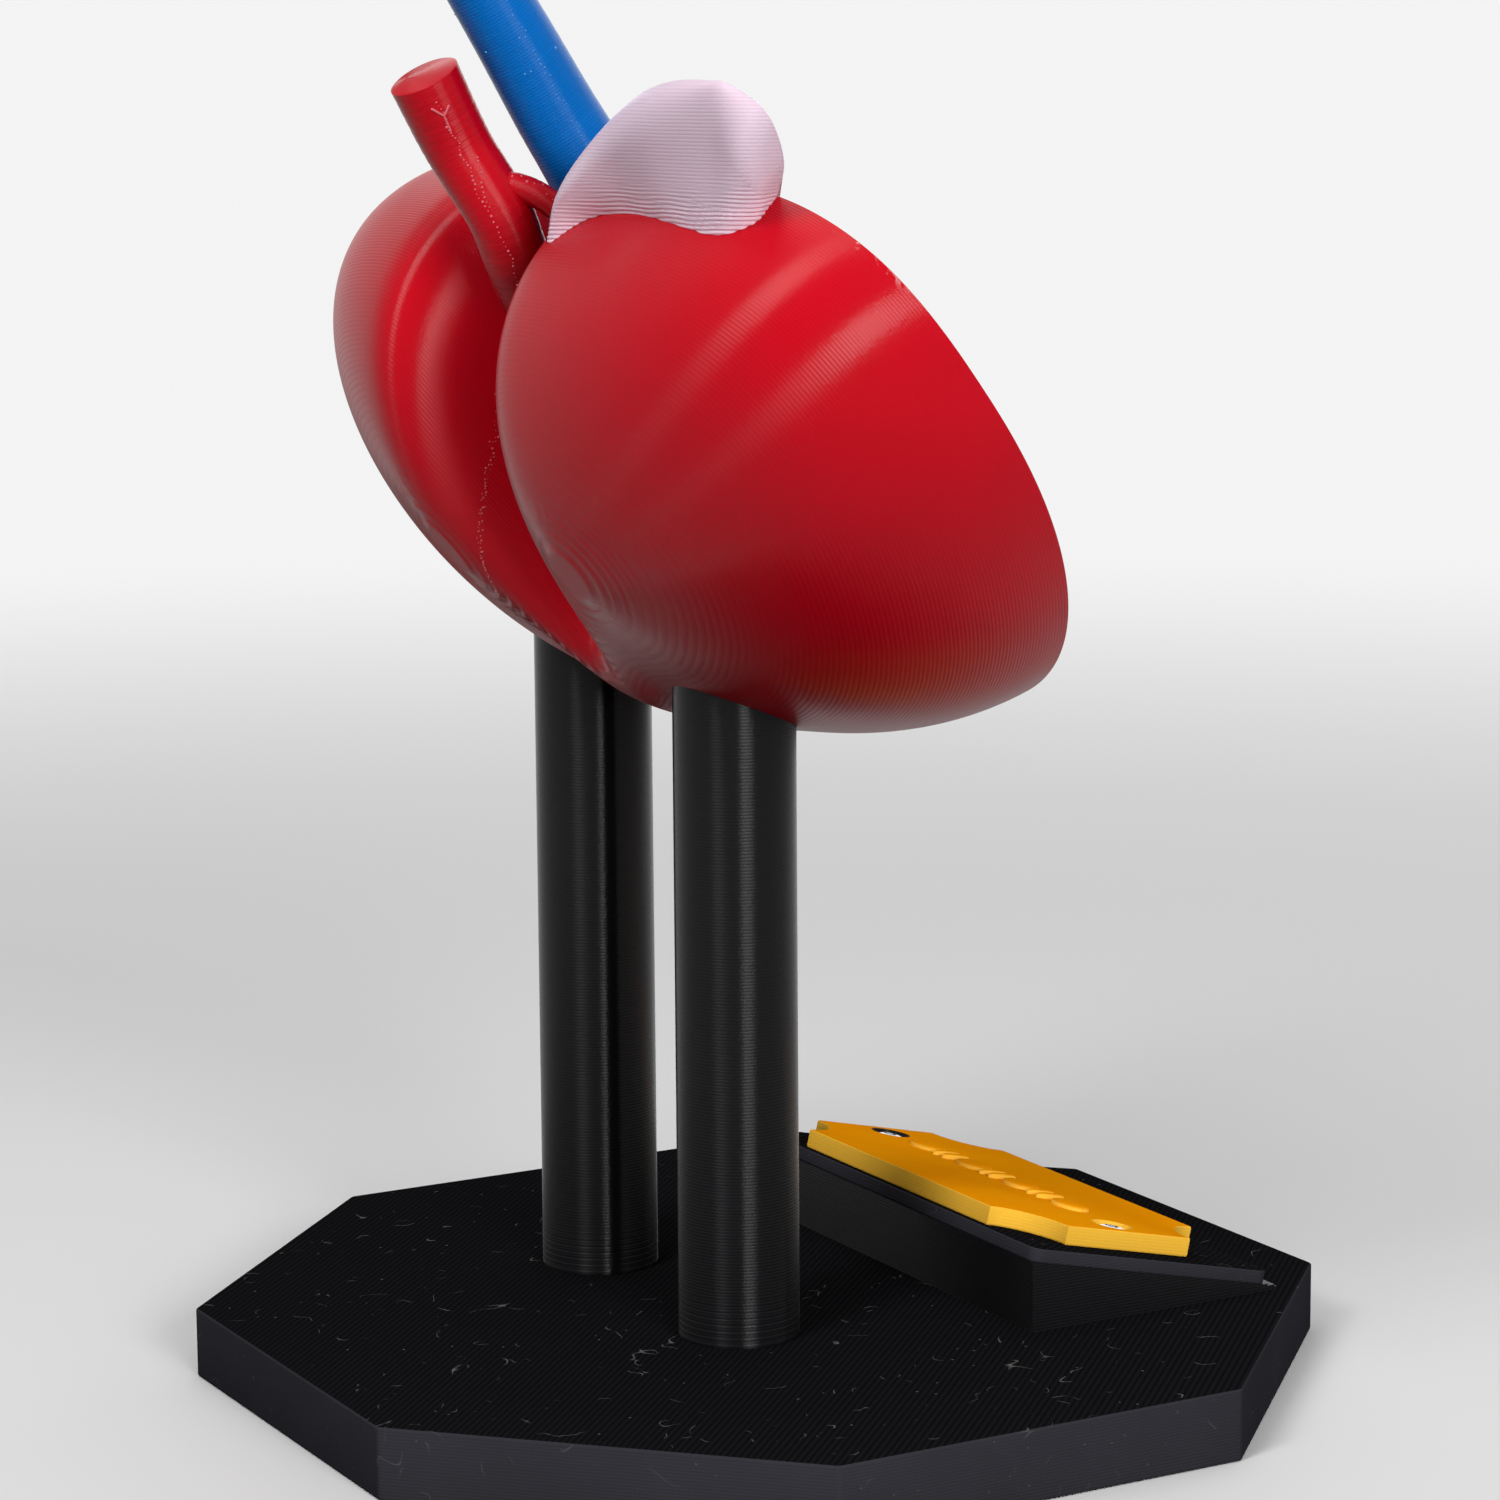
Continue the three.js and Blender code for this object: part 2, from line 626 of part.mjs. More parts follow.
// Vessels: a round skin along a curve, its radius read off a short list from end to end
function vessel(path, radii, steps, grow) {
  const curve = curveThrough(path, new THREE.Vector3(0, CLEFT_FLOOR_Y, 0));
  const frames = curve.computeFrenetFrames(steps);
  const rings = [];
  for (let i = 0; i <= steps; i++) {
    const at = (i / steps) * (radii.length - 1);
    const low = Math.min(Math.floor(at), radii.length - 2);
    const radius = THREE.MathUtils.lerp(radii[low], radii[low + 1], at - low) + grow;
    const centre = curve.getPointAt(i / steps);
    if (i === 0) centre.addScaledVector(frames.tangents[i], -grow);
    if (i === steps) centre.addScaledVector(frames.tangents[i], grow);
    const ring = [];
    for (let j = 0; j < VESSEL_SIDES; j++) {
      const angle = (2 * Math.PI * j) / VESSEL_SIDES;
      const p = centre.clone();
      p.addScaledVector(frames.normals[i], radius * Math.cos(angle));
      p.addScaledVector(frames.binormals[i], radius * Math.sin(angle));
      ring.push(p);
    }
    rings.push(ring);
  }
  return loft(rings);
}

const arteryParts = (grow) => [
  vessel(ARTERY_PATH, ARTERY_RADII, ARTERY_STEPS, grow),
  vessel(BRANCH_PATH, BRANCH_RADII, BRANCH_STEPS, grow),
];
const veinParts = (grow) => [vessel(VEIN_PATH, VEIN_RADII, VEIN_STEPS, grow)];
kidney.add(meshOf("renal_artery", joined(arteryParts(0)), arteryRed()));
kidney.add(meshOf("renal_vein", joined(veinParts(0)), veinBlue()));

// Renal pyramids: wedge-shaped inlays that point from the cortex to a calyx
const middleY = CLEFT_FLOOR_Y - MIDDLE_DROP;
const fans = [
  { x: NEAR_CENTRE_X, y: LOBE_CENTRE_Y, papilla: LOBE_PAPILLA_RADIUS, angles: NEAR_ANGLES },
  { x: FAR_CENTRE_X, y: LOBE_CENTRE_Y, papilla: LOBE_PAPILLA_RADIUS, angles: FAR_ANGLES },
  { x: MIDDLE_X, y: middleY, papilla: MIDDLE_PAPILLA_RADIUS, angles: [MIDDLE_ANGLE] },
];

function cortexReach(fan, angle) {
  const start = new THREE.Vector3(fan.x, fan.y, -PYRAMID_DEPTH / 2);
  const walks = [-PYRAMID_HALF_ANGLE, 0, PYRAMID_HALF_ANGLE].map((turn) => {
    return walk(start, X_AXIS.clone().applyAxisAngle(Z_AXIS, toRadians(angle + turn)), false);
  });
  return Math.min(...walks) - CORTEX_WIDTH;
}

function pyramidOutline(papilla, reach, grow) {
  const half = PAPILLA_HALF_WIDTH + grow * Math.hypot(1, PYRAMID_TAPER);
  const outer = reach + grow;
  const a = 1 + PYRAMID_TAPER ** 2;
  const b = papilla + PYRAMID_TAPER * half;
  const c = papilla ** 2 + half ** 2 - outer ** 2;
  const side = (Math.sqrt(b * b - a * c) - b) / a;
  const corner = new THREE.Vector2(papilla + side, half + PYRAMID_TAPER * side);
  const bend = new THREE.Vector2(papilla, half).lerp(corner, PYRAMID_BEND_SHARE);
  const turn = PYRAMID_ARC_SHARE * corner.angle();
  const outline = new THREE.Shape();
  outline.moveTo(papilla, -half);
  outline.lineTo(bend.x, -bend.y);
  outline.quadraticCurveTo(corner.x, -corner.y, outer * Math.cos(turn), -outer * Math.sin(turn));
  outline.absarc(0, 0, outer, -turn, turn);
  outline.quadraticCurveTo(corner.x, corner.y, bend.x, bend.y);
  outline.lineTo(papilla, half);
  outline.quadraticCurveTo(papilla - PAPILLA_HOLLOW_SHARE * half, 0, papilla, -half);
  return outline;
}

function placed(geometry, fan, angle) {
  return geometry.rotateZ(toRadians(angle)).translate(fan.x, fan.y, 0);
}

const pockets = [];
let pyramidCount = 0;
for (const fan of fans) {
  for (const angle of fan.angles) {
    const reach = cortexReach(fan, angle);
    const inlay = new THREE.ExtrudeGeometry(pyramidOutline(fan.papilla, reach, 0), {
      depth: PYRAMID_DEPTH + PYRAMID_RISE - 2 * PYRAMID_EDGE,
      bevelThickness: PYRAMID_EDGE,
      bevelSize: PYRAMID_EDGE,
      bevelOffset: -PYRAMID_EDGE,
      bevelSegments: 1,
      curveSegments: CURVE_STEPS,
    });
    inlay.translate(0, 0, PYRAMID_EDGE - PYRAMID_DEPTH);
    pyramidCount += 1;
    kidney.add(meshOf("pyramid_" + pyramidCount, solidOf(placed(inlay, fan, angle)), medullaRed()));
    const grown = pyramidOutline(fan.papilla, reach, SEAT_GAP);
    const room = slab(grown, -PYRAMID_DEPTH - SEAT_GAP, OVERRUN);
    pockets.push(placed(room, fan, angle));
  }
}

// Renal pelvis: a trunk under the vein that branches into a calyx for each pyramid
function limb(from, to, startRadius, endRadius, grow) {
  const length = from.distanceTo(to);
  const [r, s] = [startRadius + grow, endRadius + grow];
  const diagonal = Math.SQRT1_2;
  const profile = [
    new THREE.Vector2(0, -r),
    new THREE.Vector2(r * diagonal, -r * diagonal),
    new THREE.Vector2(r, 0),
    new THREE.Vector2(s, length),
    new THREE.Vector2(s * diagonal, length + s * diagonal),
    new THREE.Vector2(0, length + s),
  ];
  const turn = new THREE.Vector2().subVectors(to, from).angle() - Math.PI / 2;
  const skin = new THREE.LatheGeometry(profile, CALYX_SIDES);
  return skin.rotateZ(turn).translate(from.x, from.y, -PELVIS_SINK);
}

const veinEndY = CLEFT_FLOOR_Y + VEIN_PATH[VEIN_PATH.length - 1][1];
const trunkTop = new THREE.Vector2(0, veinEndY - SEAT_GAP - PELVIS_RADIUS);
const pelvisMiddle = new THREE.Vector2(MIDDLE_X, middleY);

function pelvisLimbs(grow) {
  const limbs = [limb(trunkTop, pelvisMiddle, PELVIS_RADIUS, PELVIS_RADIUS, grow)];
  for (const fan of fans) {
    const centre = new THREE.Vector2(fan.x, fan.y);
    if (!centre.equals(pelvisMiddle)) {
      limbs.push(limb(pelvisMiddle, centre, PELVIS_RADIUS, MAJOR_CALYX_RADIUS, grow));
    }
    const mouth = fan.papilla - PAPILLA_HALF_WIDTH - CALYX_MOUTH_RADIUS - SEAT_GAP;
    for (const angle of fan.angles) {
      const way = new THREE.Vector2(Math.cos(toRadians(angle)), Math.sin(toRadians(angle)));
      const end = centre.clone().addScaledVector(way, mouth);
      limbs.push(limb(centre, end, CALYX_RADIUS, CALYX_MOUTH_RADIUS, grow));
    }
  }
  return limbs;
}
kidney.add(meshOf("renal_pelvis", joined(pelvisLimbs(0)), pelvisCream()));

// Adrenal gland: ribs from tip to ridge and from ridge to end, rooted in the kidney and cut to it
const glandSeat = new THREE.Vector3(GLAND_X, rimHeight(GLAND_X) + GLAND_RISE, 0);

function glandRib(front, crest, foot) {
  const bend = new THREE.QuadraticBezierCurve3(
    front.clone().lerp(crest, 1 - GLAND_ROUNDING),
    crest,
    crest.clone().lerp(foot, GLAND_ROUNDING),
  );
  const root = (p) => {
    const fromSeat = p.clone().sub(glandSeat);
    const shared = new THREE.Vector3(fromSeat.x, 0, fromSeat.z).multiplyScalar(GLAND_ROOT_SHARE);
    return shared.add(glandSeat).sub(new THREE.Vector3(0, GLAND_ROOT, 0));
  };
  return [root(front), front, ...bend.getPoints(GLAND_BEND_STEPS), foot, root(foot)];
}

function glandRibs(frontPoints, crestPoints, footPoints, steps) {
  const through = (points) => curveThrough(points, glandSeat);
  const [front, crest, foot] = [frontPoints, crestPoints, footPoints].map(through);
  const ribs = [];
  for (let i = 0; i <= steps; i++) {
    const t = i / steps;
    ribs.push(glandRib(front.getPoint(t), crest.getPoint(t), foot.getPoint(t)));
  }
  return ribs;
}

function glandPeg(diameter, extra) {
  const peg = bar(diameter, -GLAND_PEG_LENGTH - extra, GLAND_PEG_LENGTH).rotateX(-Math.PI / 2);
  return peg.translate(glandSeat.x, glandSeat.y, -GLAND_PEG_DEPTH);
}

function makeGland() {
  const body = glandRibs(GLAND_FRONT, GLAND_CREST, GLAND_FOOT, GLAND_STEPS);
  const end = glandRibs(GLAND_END_FRONT, GLAND_END_CREST, GLAND_END_FOOT, GLAND_END_STEPS);
  const whole = solidOf(loft([...body, ...end.slice(1)]));
  return whole.subtract(solidOf(domeGeometry(SEAT_GAP))).add(solidOf(glandPeg(GLAND_PEG_DIAMETER, 0)));
}
kidney.add(meshOf("adrenal_gland", makeGland(), glandLilac()));

// Kidney body: the dome with a close-fitting room for everything that is set into it
function makeKidneyBody() {
  const rooms = [
    ...arteryParts(SEAT_GAP),
    ...veinParts(SEAT_GAP),
    ...pockets,
    ...pelvisLimbs(SEAT_GAP),
    ...postPlaces.map(dowelHole),
    glandPeg(GLAND_PEG_DIAMETER + 2 * SEAT_GAP, HOLE_END),
  ];
  return solidOf(domeGeometry(0)).subtract(joined(rooms));
}
kidney.add(meshOf("kidney_body", makeKidneyBody(), kidneyRed()));

export default base;
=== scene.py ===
"""Looks of a printed kidney anatomy model on its stand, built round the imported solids. Metres, +Z up."""

import bmesh
import bpy
import numpy as np
from mathutils import Matrix, Vector


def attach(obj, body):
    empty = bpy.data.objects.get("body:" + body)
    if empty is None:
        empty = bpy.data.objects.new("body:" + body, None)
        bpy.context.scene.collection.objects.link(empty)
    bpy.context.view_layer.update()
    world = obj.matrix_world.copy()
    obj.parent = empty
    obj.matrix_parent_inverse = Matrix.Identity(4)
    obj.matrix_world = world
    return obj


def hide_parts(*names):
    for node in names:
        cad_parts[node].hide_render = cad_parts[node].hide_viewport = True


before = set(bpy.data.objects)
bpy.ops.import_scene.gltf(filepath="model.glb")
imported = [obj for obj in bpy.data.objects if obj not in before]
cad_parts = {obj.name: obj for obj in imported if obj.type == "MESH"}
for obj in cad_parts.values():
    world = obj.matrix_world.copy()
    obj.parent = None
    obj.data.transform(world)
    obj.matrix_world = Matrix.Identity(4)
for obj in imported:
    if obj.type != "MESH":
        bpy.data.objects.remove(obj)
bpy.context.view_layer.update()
scene = bpy.context.scene
scene.view_settings.view_transform = "Standard"


# Camera and studio. The camera stands behind the kidney's near end, a little above the model, with a
# long lens. Soft lamps on both sides of it, overhead and on the reader's side light a sweep of paper.
MM = 0.001  # in metres
WELD = 2e-7  # corners of a mesh that are closer than this, in metres, become one
CAMERA_PLACE = (-0.53077, 0.29828, 0.18936)
CAMERA_FORWARD = (0.86092, -0.48168, -0.16373)
CAMERA_RIGHT = (-0.48929, -0.87209, -0.00717)
CAMERA_LENS, CAMERA_NEAREST, CAMERA_FARTHEST = 104.7, 0.01, 50
LAMPS = {  # place, width and height in metres, and power in watts
    "softbox_left": ((-0.41, 0.88, 1.0), 0.34, 0.6, 8.5),
    "softbox_right": ((-1.25, 0.17, 0.45), 0.34, 0.6, 12.0),
    "softbox_top": ((0.2, 0.0, 1.4), 1.2, 1.2, 5.0),
    "softbox_front": ((0.75, -0.95, 0.75), 1.8, 1.8, 7.0),
}
LAMP_AIM = (0, 0, 0.13)
LAMP_LEAN = (0, -0.7986, 0.6018)  # way of their long sides: across the kidney's layers, for narrow bands
STUDIO_WHITE = (0.9, 0.9, 0.9, 1)
PAPER_WHITE = (0.8, 0.8, 0.8, 1)
PAPER_BOUNCE = (0.12, 0.12, 0.12, 1)
SKY_STRENGTH = 0.08
FLOOR_RADIUS, FLOOR_SIDES, FLOOR_DROP = 5.0, 96, 0.05 * MM
FLOOR_FADE = (0.25, 1.0)  # distances between which the paper turns into the backdrop


def add_node(tree, kind, inputs=None, **settings):
    """Adds one shader node with its settings. An input is a value, an output to link from, or a node
    that gives its first output."""
    node = tree.nodes.new("ShaderNode" + kind)
    for name, value in settings.items():
        setattr(node, name, value)
    for name, value in (inputs or {}).items():
        value = value.outputs[0] if isinstance(value, bpy.types.Node) else value
        if isinstance(value, bpy.types.NodeSocket):
            tree.links.new(value, node.inputs[name])
        else:
            node.inputs[name].default_value = value
    return node


def new_material(name):
    """An empty material, its node tree and its output node, ready for a surface."""
    material = bpy.data.materials.new(name)
    material.use_nodes = True
    material.node_tree.nodes.clear()
    return material, material.node_tree, add_node(material.node_tree, "OutputMaterial")


def round_off(piece, below):
    """Smooth shading, kept sharp at edges that bend by more than this many degrees."""
    piece.data.shade_smooth()
    piece.data.set_sharp_from_angle(angle=np.radians(below))


def new_piece(name, points, faces, material, smooth_below=35):
    """A mesh object from corners in metres, with faces turned outwards and shallow edges rounded off."""
    mesh = bpy.data.meshes.new(name)
    mesh.from_pydata(np.asarray(points).tolist(), [], faces)
    shape = bmesh.new()
    shape.from_mesh(mesh)
    bmesh.ops.remove_doubles(shape, verts=shape.verts, dist=WELD)
    bmesh.ops.recalc_face_normals(shape, faces=shape.faces)
    shape.to_mesh(mesh)
    shape.free()
    mesh.materials.append(material)
    piece = bpy.data.objects.new(name, mesh)
    scene.collection.objects.link(piece)
    round_off(piece, smooth_below)
    return piece


camera_data = bpy.data.cameras.new("photo_camera")
camera_data.lens = CAMERA_LENS
camera_data.clip_start, camera_data.clip_end = CAMERA_NEAREST, CAMERA_FARTHEST
camera = bpy.data.objects.new("photo_camera", camera_data)
scene.collection.objects.link(camera)
forward, right = Vector(CAMERA_FORWARD).normalized(), Vector(CAMERA_RIGHT).normalized()
turn = Matrix((right, right.cross(forward), -forward)).transposed()
camera.matrix_world = Matrix.Translation(CAMERA_PLACE) @ turn.to_4x4()
scene.camera = camera

for lamp_name, (place, width, height, power) in LAMPS.items():
    lamp_data = bpy.data.lights.new(lamp_name, "AREA")
    lamp_data.shape = "RECTANGLE"
    lamp_data.size, lamp_data.size_y = width, height
    lamp_data.energy = power
    lamp = bpy.data.objects.new(lamp_name, lamp_data)
    scene.collection.objects.link(lamp)
    back = (Vector(place) - Vector(LAMP_AIM)).normalized()
    side = Vector(LAMP_LEAN).cross(back).normalized()
    turn = Matrix((side, back.cross(side), back)).transposed()
    lamp.matrix_world = Matrix.Translation(place) @ turn.to_4x4()


def seen_plainly(tree):
    """1 where the camera, a mirror or a look through something clear meets the surface, otherwise 0."""
    rays = add_node(tree, "LightPath")
    mirrored = add_node(tree, "Math", {
        0: rays.outputs["Is Glossy Ray"], 1: rays.outputs["Is Transmission Ray"]}, operation="MAXIMUM")
    return add_node(tree, "Math", {0: rays.outputs["Is Camera Ray"], 1: mirrored}, operation="MAXIMUM")


def full_turn(count):
    """Equal angles round a full turn, from 0, without the end."""
    return np.linspace(0, 2 * np.pi, count, endpoint=False)


world = bpy.data.worlds.new("studio")
world.use_nodes = True
scene.world = world
tree = world.node_tree
tree.nodes.clear()
strength = add_node(tree, "MapRange", {"Value": seen_plainly(tree), "To Min": SKY_STRENGTH, "To Max": 1.0})
sky = add_node(tree, "Background", {"Color": STUDIO_WHITE, "Strength": strength})
add_node(tree, "OutputWorld", {"Surface": sky})

# Paper: matt and pale to the eye and in reflections, turning into the plain backdrop colour away from
# the model. It throws less light back up, as a table further below the model would.
paper, tree, output = new_material("studio_paper")
coords = add_node(tree, "TexCoord").outputs["Object"]
distance = add_node(tree, "VectorMath", {0: coords}, operation="LENGTH")
fade = add_node(tree, "MapRange", {
    "Value": distance.outputs["Value"], "From Min": FLOOR_FADE[0], "From Max": FLOOR_FADE[1],
}, interpolation_type="SMOOTHSTEP")
seen = seen_plainly(tree)
tint = add_node(tree, "Mix", {0: seen, 6: PAPER_BOUNCE, 7: PAPER_WHITE}, data_type="RGBA")
matt = add_node(tree, "BsdfDiffuse", {"Color": tint.outputs[2]})
glow = add_node(tree, "Emission", {"Color": STUDIO_WHITE})
faded = add_node(tree, "Math", {0: seen, 1: fade}, operation="MULTIPLY")
both = add_node(tree, "MixShader", {0: faded, 1: matt, 2: glow})
tree.links.new(both.outputs[0], output.inputs["Surface"])
angles = full_turn(FLOOR_SIDES)
edge = np.stack([FLOOR_RADIUS * np.cos(angles), FLOOR_RADIUS * np.sin(angles), angles * 0 - FLOOR_DROP], 1)
floor = new_piece("studio_floor", edge, [list(range(FLOOR_SIDES))], paper)
if floor.data.polygons[0].normal.z < 0:
    floor.data.flip_normals()


# Kidney body: half a kidney printed in silky red plastic from its flat cut face up, and glued on two
# posts. Its skin is a function of two numbers, along it and round it from rim to rim. Millimetres in
# the frame of the cut face: x along the kidney, y up the face, z out of it.
KIDNEY_PLACE = np.array([-1.7, 2.6, 131.5])
FACE_TILT = np.radians(37)
KIDNEY_AXES = np.array([
    [1, 0, 0],
    [0, np.sin(FACE_TILT), np.cos(FACE_TILT)],
    [0, -np.cos(FACE_TILT), np.sin(FACE_TILT)],
])
FACE_NORMAL = tuple(KIDNEY_AXES[2].tolist())
FACE_OFFSET = float(KIDNEY_PLACE @ KIDNEY_AXES[2]) * MM
NEAR_LENGTH, FAR_LENGTH = 78.4, 58.0
LOWER_HEIGHT, UPPER_HEIGHT = 46.5, 48.2
DOME_DEPTH, DOME_LEAN = 39.8, 0.29
END_FULLNESS, BACK_FULLNESS = 2.42, 0.98
END_LIFT, LOBE_BLEND = 18.3, 0.3
CLEFT_DEPTH, CLEFT_HALF_WIDTH = 57.2, 9.8
CLEFT_EDGE, CLEFT_REACH = 2.4, 1.4
SADDLE_DIP, SADDLE_HALF_WIDTH = 4.0, 12.0
DOME_SLICES, DOME_POINTS = 350, 216
SLICE_EVENNESS = 0.55
LAYER = 0.28  # real layer height
TREAD_FROM, TREAD_SPAN = 0.9, 0.8  # a step starts to show at this width, and is whole this much wider
RISE_FROM, RISE_SPAN = 0.3, 0.4  # where in a layer its step rises, as shares of the layer
SHOWN_LAYER = 0.45 * MM  # layer lines in the finish, drawn coarser than they are so that they show
WAVERS, CLOUDS, GRAINS = 90.0, 45.0, 1600.0  # per metre: patches of about 11, 22 and 0.6 mm
WAVER = 0.5  # how far layer lines wander, against their own spacing
CLOUD_ROUGHNESS = 0.05
GRIT = 0.6  # fine unevenness that makes the sheen glitter, against a layer's height of 1
LAYER_BUMP = 0.7
PLASTIC_IOR = 1.46


def from_kidney(points):
    """Millimetres in the frame of the cut face to metres in the model's frame."""
    return (np.asarray(points) @ KIDNEY_AXES + KIDNEY_PLACE) * MM


def skin(rings):
    """A closed skin over rings of equally many points: quads between rings, a flat face on each end."""
    count, around = rings.shape[:2]
    index = np.arange(count * around).reshape(count, around)
    after = np.roll(index, -1, axis=1)
    quads = np.stack([index[:-1], index[1:], after[1:], after[:-1]], -1).reshape(-1, 4)
    return rings.reshape(-1, 3), quads.tolist() + [index[0].tolist(), index[-1][::-1].tolist()]


def dome(along, round_):
    """Kidney skin: a super-ellipse cap along the length, a full arc round the back, ends lifted by a
    square law, and a cleft pressed in from above by a bell curve."""
    half = (NEAR_LENGTH + FAR_LENGTH) / 2
    bias = (FAR_LENGTH - NEAR_LENGTH) / (FAR_LENGTH + NEAR_LENGTH)
    x = half * along
    cap = np.maximum(1 - np.abs(along) ** END_FULLNESS, 0) ** (1 / END_FULLNESS)
    turned = np.cos(round_)
    dip = SADDLE_DIP * np.exp(-(x / SADDLE_HALF_WIDTH) ** 2)
    depth = (DOME_DEPTH - dip) * cap * np.maximum(np.sin(round_), 0) ** BACK_FULLNESS
    height = np.where(turned > 0, LOWER_HEIGHT, UPPER_HEIGHT)
    cleft = CLEFT_DEPTH * np.exp(-np.abs(x / CLEFT_HALF_WIDTH) ** CLEFT_EDGE)
    y = -height * turned * cap + END_LIFT * along ** 2 + DOME_LEAN * depth
    y = y - cleft * ((1 - turned) / 2) ** CLEFT_REACH
    return np.stack(np.broadcast_arrays(x * (1 + bias * np.tanh(along / LOBE_BLEND)), y, -depth), -1)


def dome_grid(slices, points):
    """The kidney skin on a grid whose slices stand closest together at the cleft."""
    s = np.linspace(-1, 1, slices)
    along = np.sin(np.pi / 2 * s * (SLICE_EVENNESS + (1 - SLICE_EVENNESS) * s ** 2))
    return dome(along[:, None], np.linspace(0, np.pi, points)[None, :])


def smooth_step(value):
    """0 below 0, 1 above 1, and a soft bend between."""
    value = np.clip(value, 0, 1)
    return value * value * (3 - 2 * value)


def terraced(grid):
    """The skin with printed layers as real steps where it lies so flat that a step is about 1 mm wide:
    depth is pulled to whole layers there, with a steep rise from each to the next."""
    across, around = np.gradient(grid, axis=(0, 1))
    normal = np.cross(around, across)
    slope = np.hypot(normal[..., 0], normal[..., 1]) / np.maximum(np.abs(normal[..., 2]), 1e-9)
    flat = smooth_step((LAYER / np.maximum(slope, 1e-3) - TREAD_FROM) / TREAD_SPAN)
    level = -grid[..., 2] / LAYER
    stepped = np.floor(level) + smooth_step((level % 1 - RISE_FROM) / RISE_SPAN)
    shaped = grid.copy()
    shaped[..., 2] = grid[..., 2] - flat * (stepped - level) * LAYER
    return shaped


def linear(code):
    """An sRGB hex colour as linear red, green, blue and alpha."""
    levels = np.array([int(code[i:i + 2], 16) for i in (1, 3, 5)]) / 255
    low = levels / 12.92
    high = ((levels + 0.055) / 1.055) ** 2.4
    return (*np.where(levels <= 0.04045, low, high).tolist(), 1.0)


def arches(tree, distance, spacing):
    """A row of arches, half a sine each: the size of the sine of pi times distance over spacing."""
    phase = add_node(tree, "Math", {0: distance, 1: np.pi / spacing}, operation="MULTIPLY")
    wave = add_node(tree, "Math", {0: phase}, operation="SINE")
    return add_node(tree, "Math", {0: wave}, operation="ABSOLUTE")


def layered_plastic(name, dark, light, roughness, along, relief, gloss=0.2, pull=1.0):
    """A printed plastic: two close shades in soft clouds, and layers along one direction as a row of
    arches with grit on them. Its layers pull a lamp's reflection out across them."""
    material, tree, output = new_material(name)
    coords = add_node(tree, "TexCoord").outputs["Object"]
    height = add_node(tree, "VectorMath", {0: coords, 1: along}, operation="DOT_PRODUCT")
    waver = add_node(tree, "TexNoise", {"Vector": coords, "Scale": WAVERS, "Detail": 1.0})
    pushed = add_node(tree, "Math", {
        0: waver, 1: WAVER * SHOWN_LAYER, 2: height.outputs["Value"]}, operation="MULTIPLY_ADD")
    arch = arches(tree, pushed, SHOWN_LAYER)
    cloud = add_node(tree, "TexNoise", {"Vector": coords, "Scale": CLOUDS, "Detail": 3.0})
    shade = add_node(tree, "Mix", {0: cloud, 6: linear(dark), 7: linear(light)}, data_type="RGBA")
    rough = add_node(tree, "MapRange", {
        "Value": cloud, "To Min": roughness - CLOUD_ROUGHNESS, "To Max": roughness + CLOUD_ROUGHNESS})
    grit = add_node(tree, "TexNoise", {"Vector": coords, "Scale": GRAINS, "Detail": 2.0})
    uneven = add_node(tree, "Math", {0: grit, 1: GRIT, 2: arch}, operation="MULTIPLY_ADD")
    bump = add_node(tree, "Bump", {"Height": uneven, "Distance": relief * MM, "Strength": LAYER_BUMP})
    grain = add_node(tree, "CombineXYZ", {"X": along[0], "Y": along[1], "Z": along[2]})
    surface = add_node(tree, "BsdfPrincipled", {
        "Base Color": shade.outputs[2], "Roughness": rough, "IOR": PLASTIC_IOR,
        "Specular IOR Level": gloss, "Normal": bump, "Anisotropic": pull, "Tangent": grain})
    tree.links.new(surface.outputs[0], output.inputs["Surface"])
    return material, tree, surface, shade, coords


# Silky red PLA: deep red under a sheen that its layer lines pull out across them. At the near end of
# the upper rim pale flecks are painted on: painted glints on its chipped edge.
GLINTED_PLACE, GLINT_REACH, GLINT_CORE = (-0.0747, 0.0257, 0.1621), 7 * MM, 0.6
GLINT_BACK, GLINT_FRONT = (-1.1 * MM, -0.2 * MM), (-0.02 * MM, -0.1 * MM)  # fades, by height off the face
CHIPS, CHIP_LEVELS, GLINT_PALENESS = 700.0, (0.53, 0.62), 0.6  # per metre: chips of about 1.4 mm
silk_red, tree, surface, shade, coords = layered_plastic(
    "silk_pla_red", "#B80012", "#CC001E", 0.33, FACE_NORMAL, 0.035, 0.22)
height = add_node(tree, "VectorMath", {0: coords, 1: FACE_NORMAL}, operation="DOT_PRODUCT")
from_rim = add_node(tree, "Math", {0: height.outputs["Value"], 1: FACE_OFFSET}, operation="SUBTRACT")
near_rim = add_node(tree, "MapRange", {
    "Value": from_rim, "From Min": GLINT_BACK[0], "From Max": GLINT_BACK[1]})
behind = add_node(tree, "MapRange", {
    "Value": from_rim, "From Min": GLINT_FRONT[0], "From Max": GLINT_FRONT[1]})
away = add_node(tree, "VectorMath", {0: coords, 1: GLINTED_PLACE}, operation="DISTANCE")
there = add_node(tree, "MapRange", {
    "Value": away.outputs["Value"], "From Min": GLINT_REACH, "From Max": GLINT_CORE * GLINT_REACH})
chips = add_node(tree, "TexNoise", {"Vector": coords, "Scale": CHIPS, "Detail": 4.0})
chip_glints = add_node(tree, "MapRange", {
    "Value": chips, "From Min": CHIP_LEVELS[0], "From Max": CHIP_LEVELS[1], "To Max": GLINT_PALENESS})
placed = add_node(tree, "Math", {0: near_rim, 1: there}, operation="MULTIPLY")
placed = add_node(tree, "Math", {0: placed, 1: behind}, operation="MULTIPLY")
rim_glints = add_node(tree, "Math", {0: placed, 1: chip_glints}, operation="MULTIPLY")
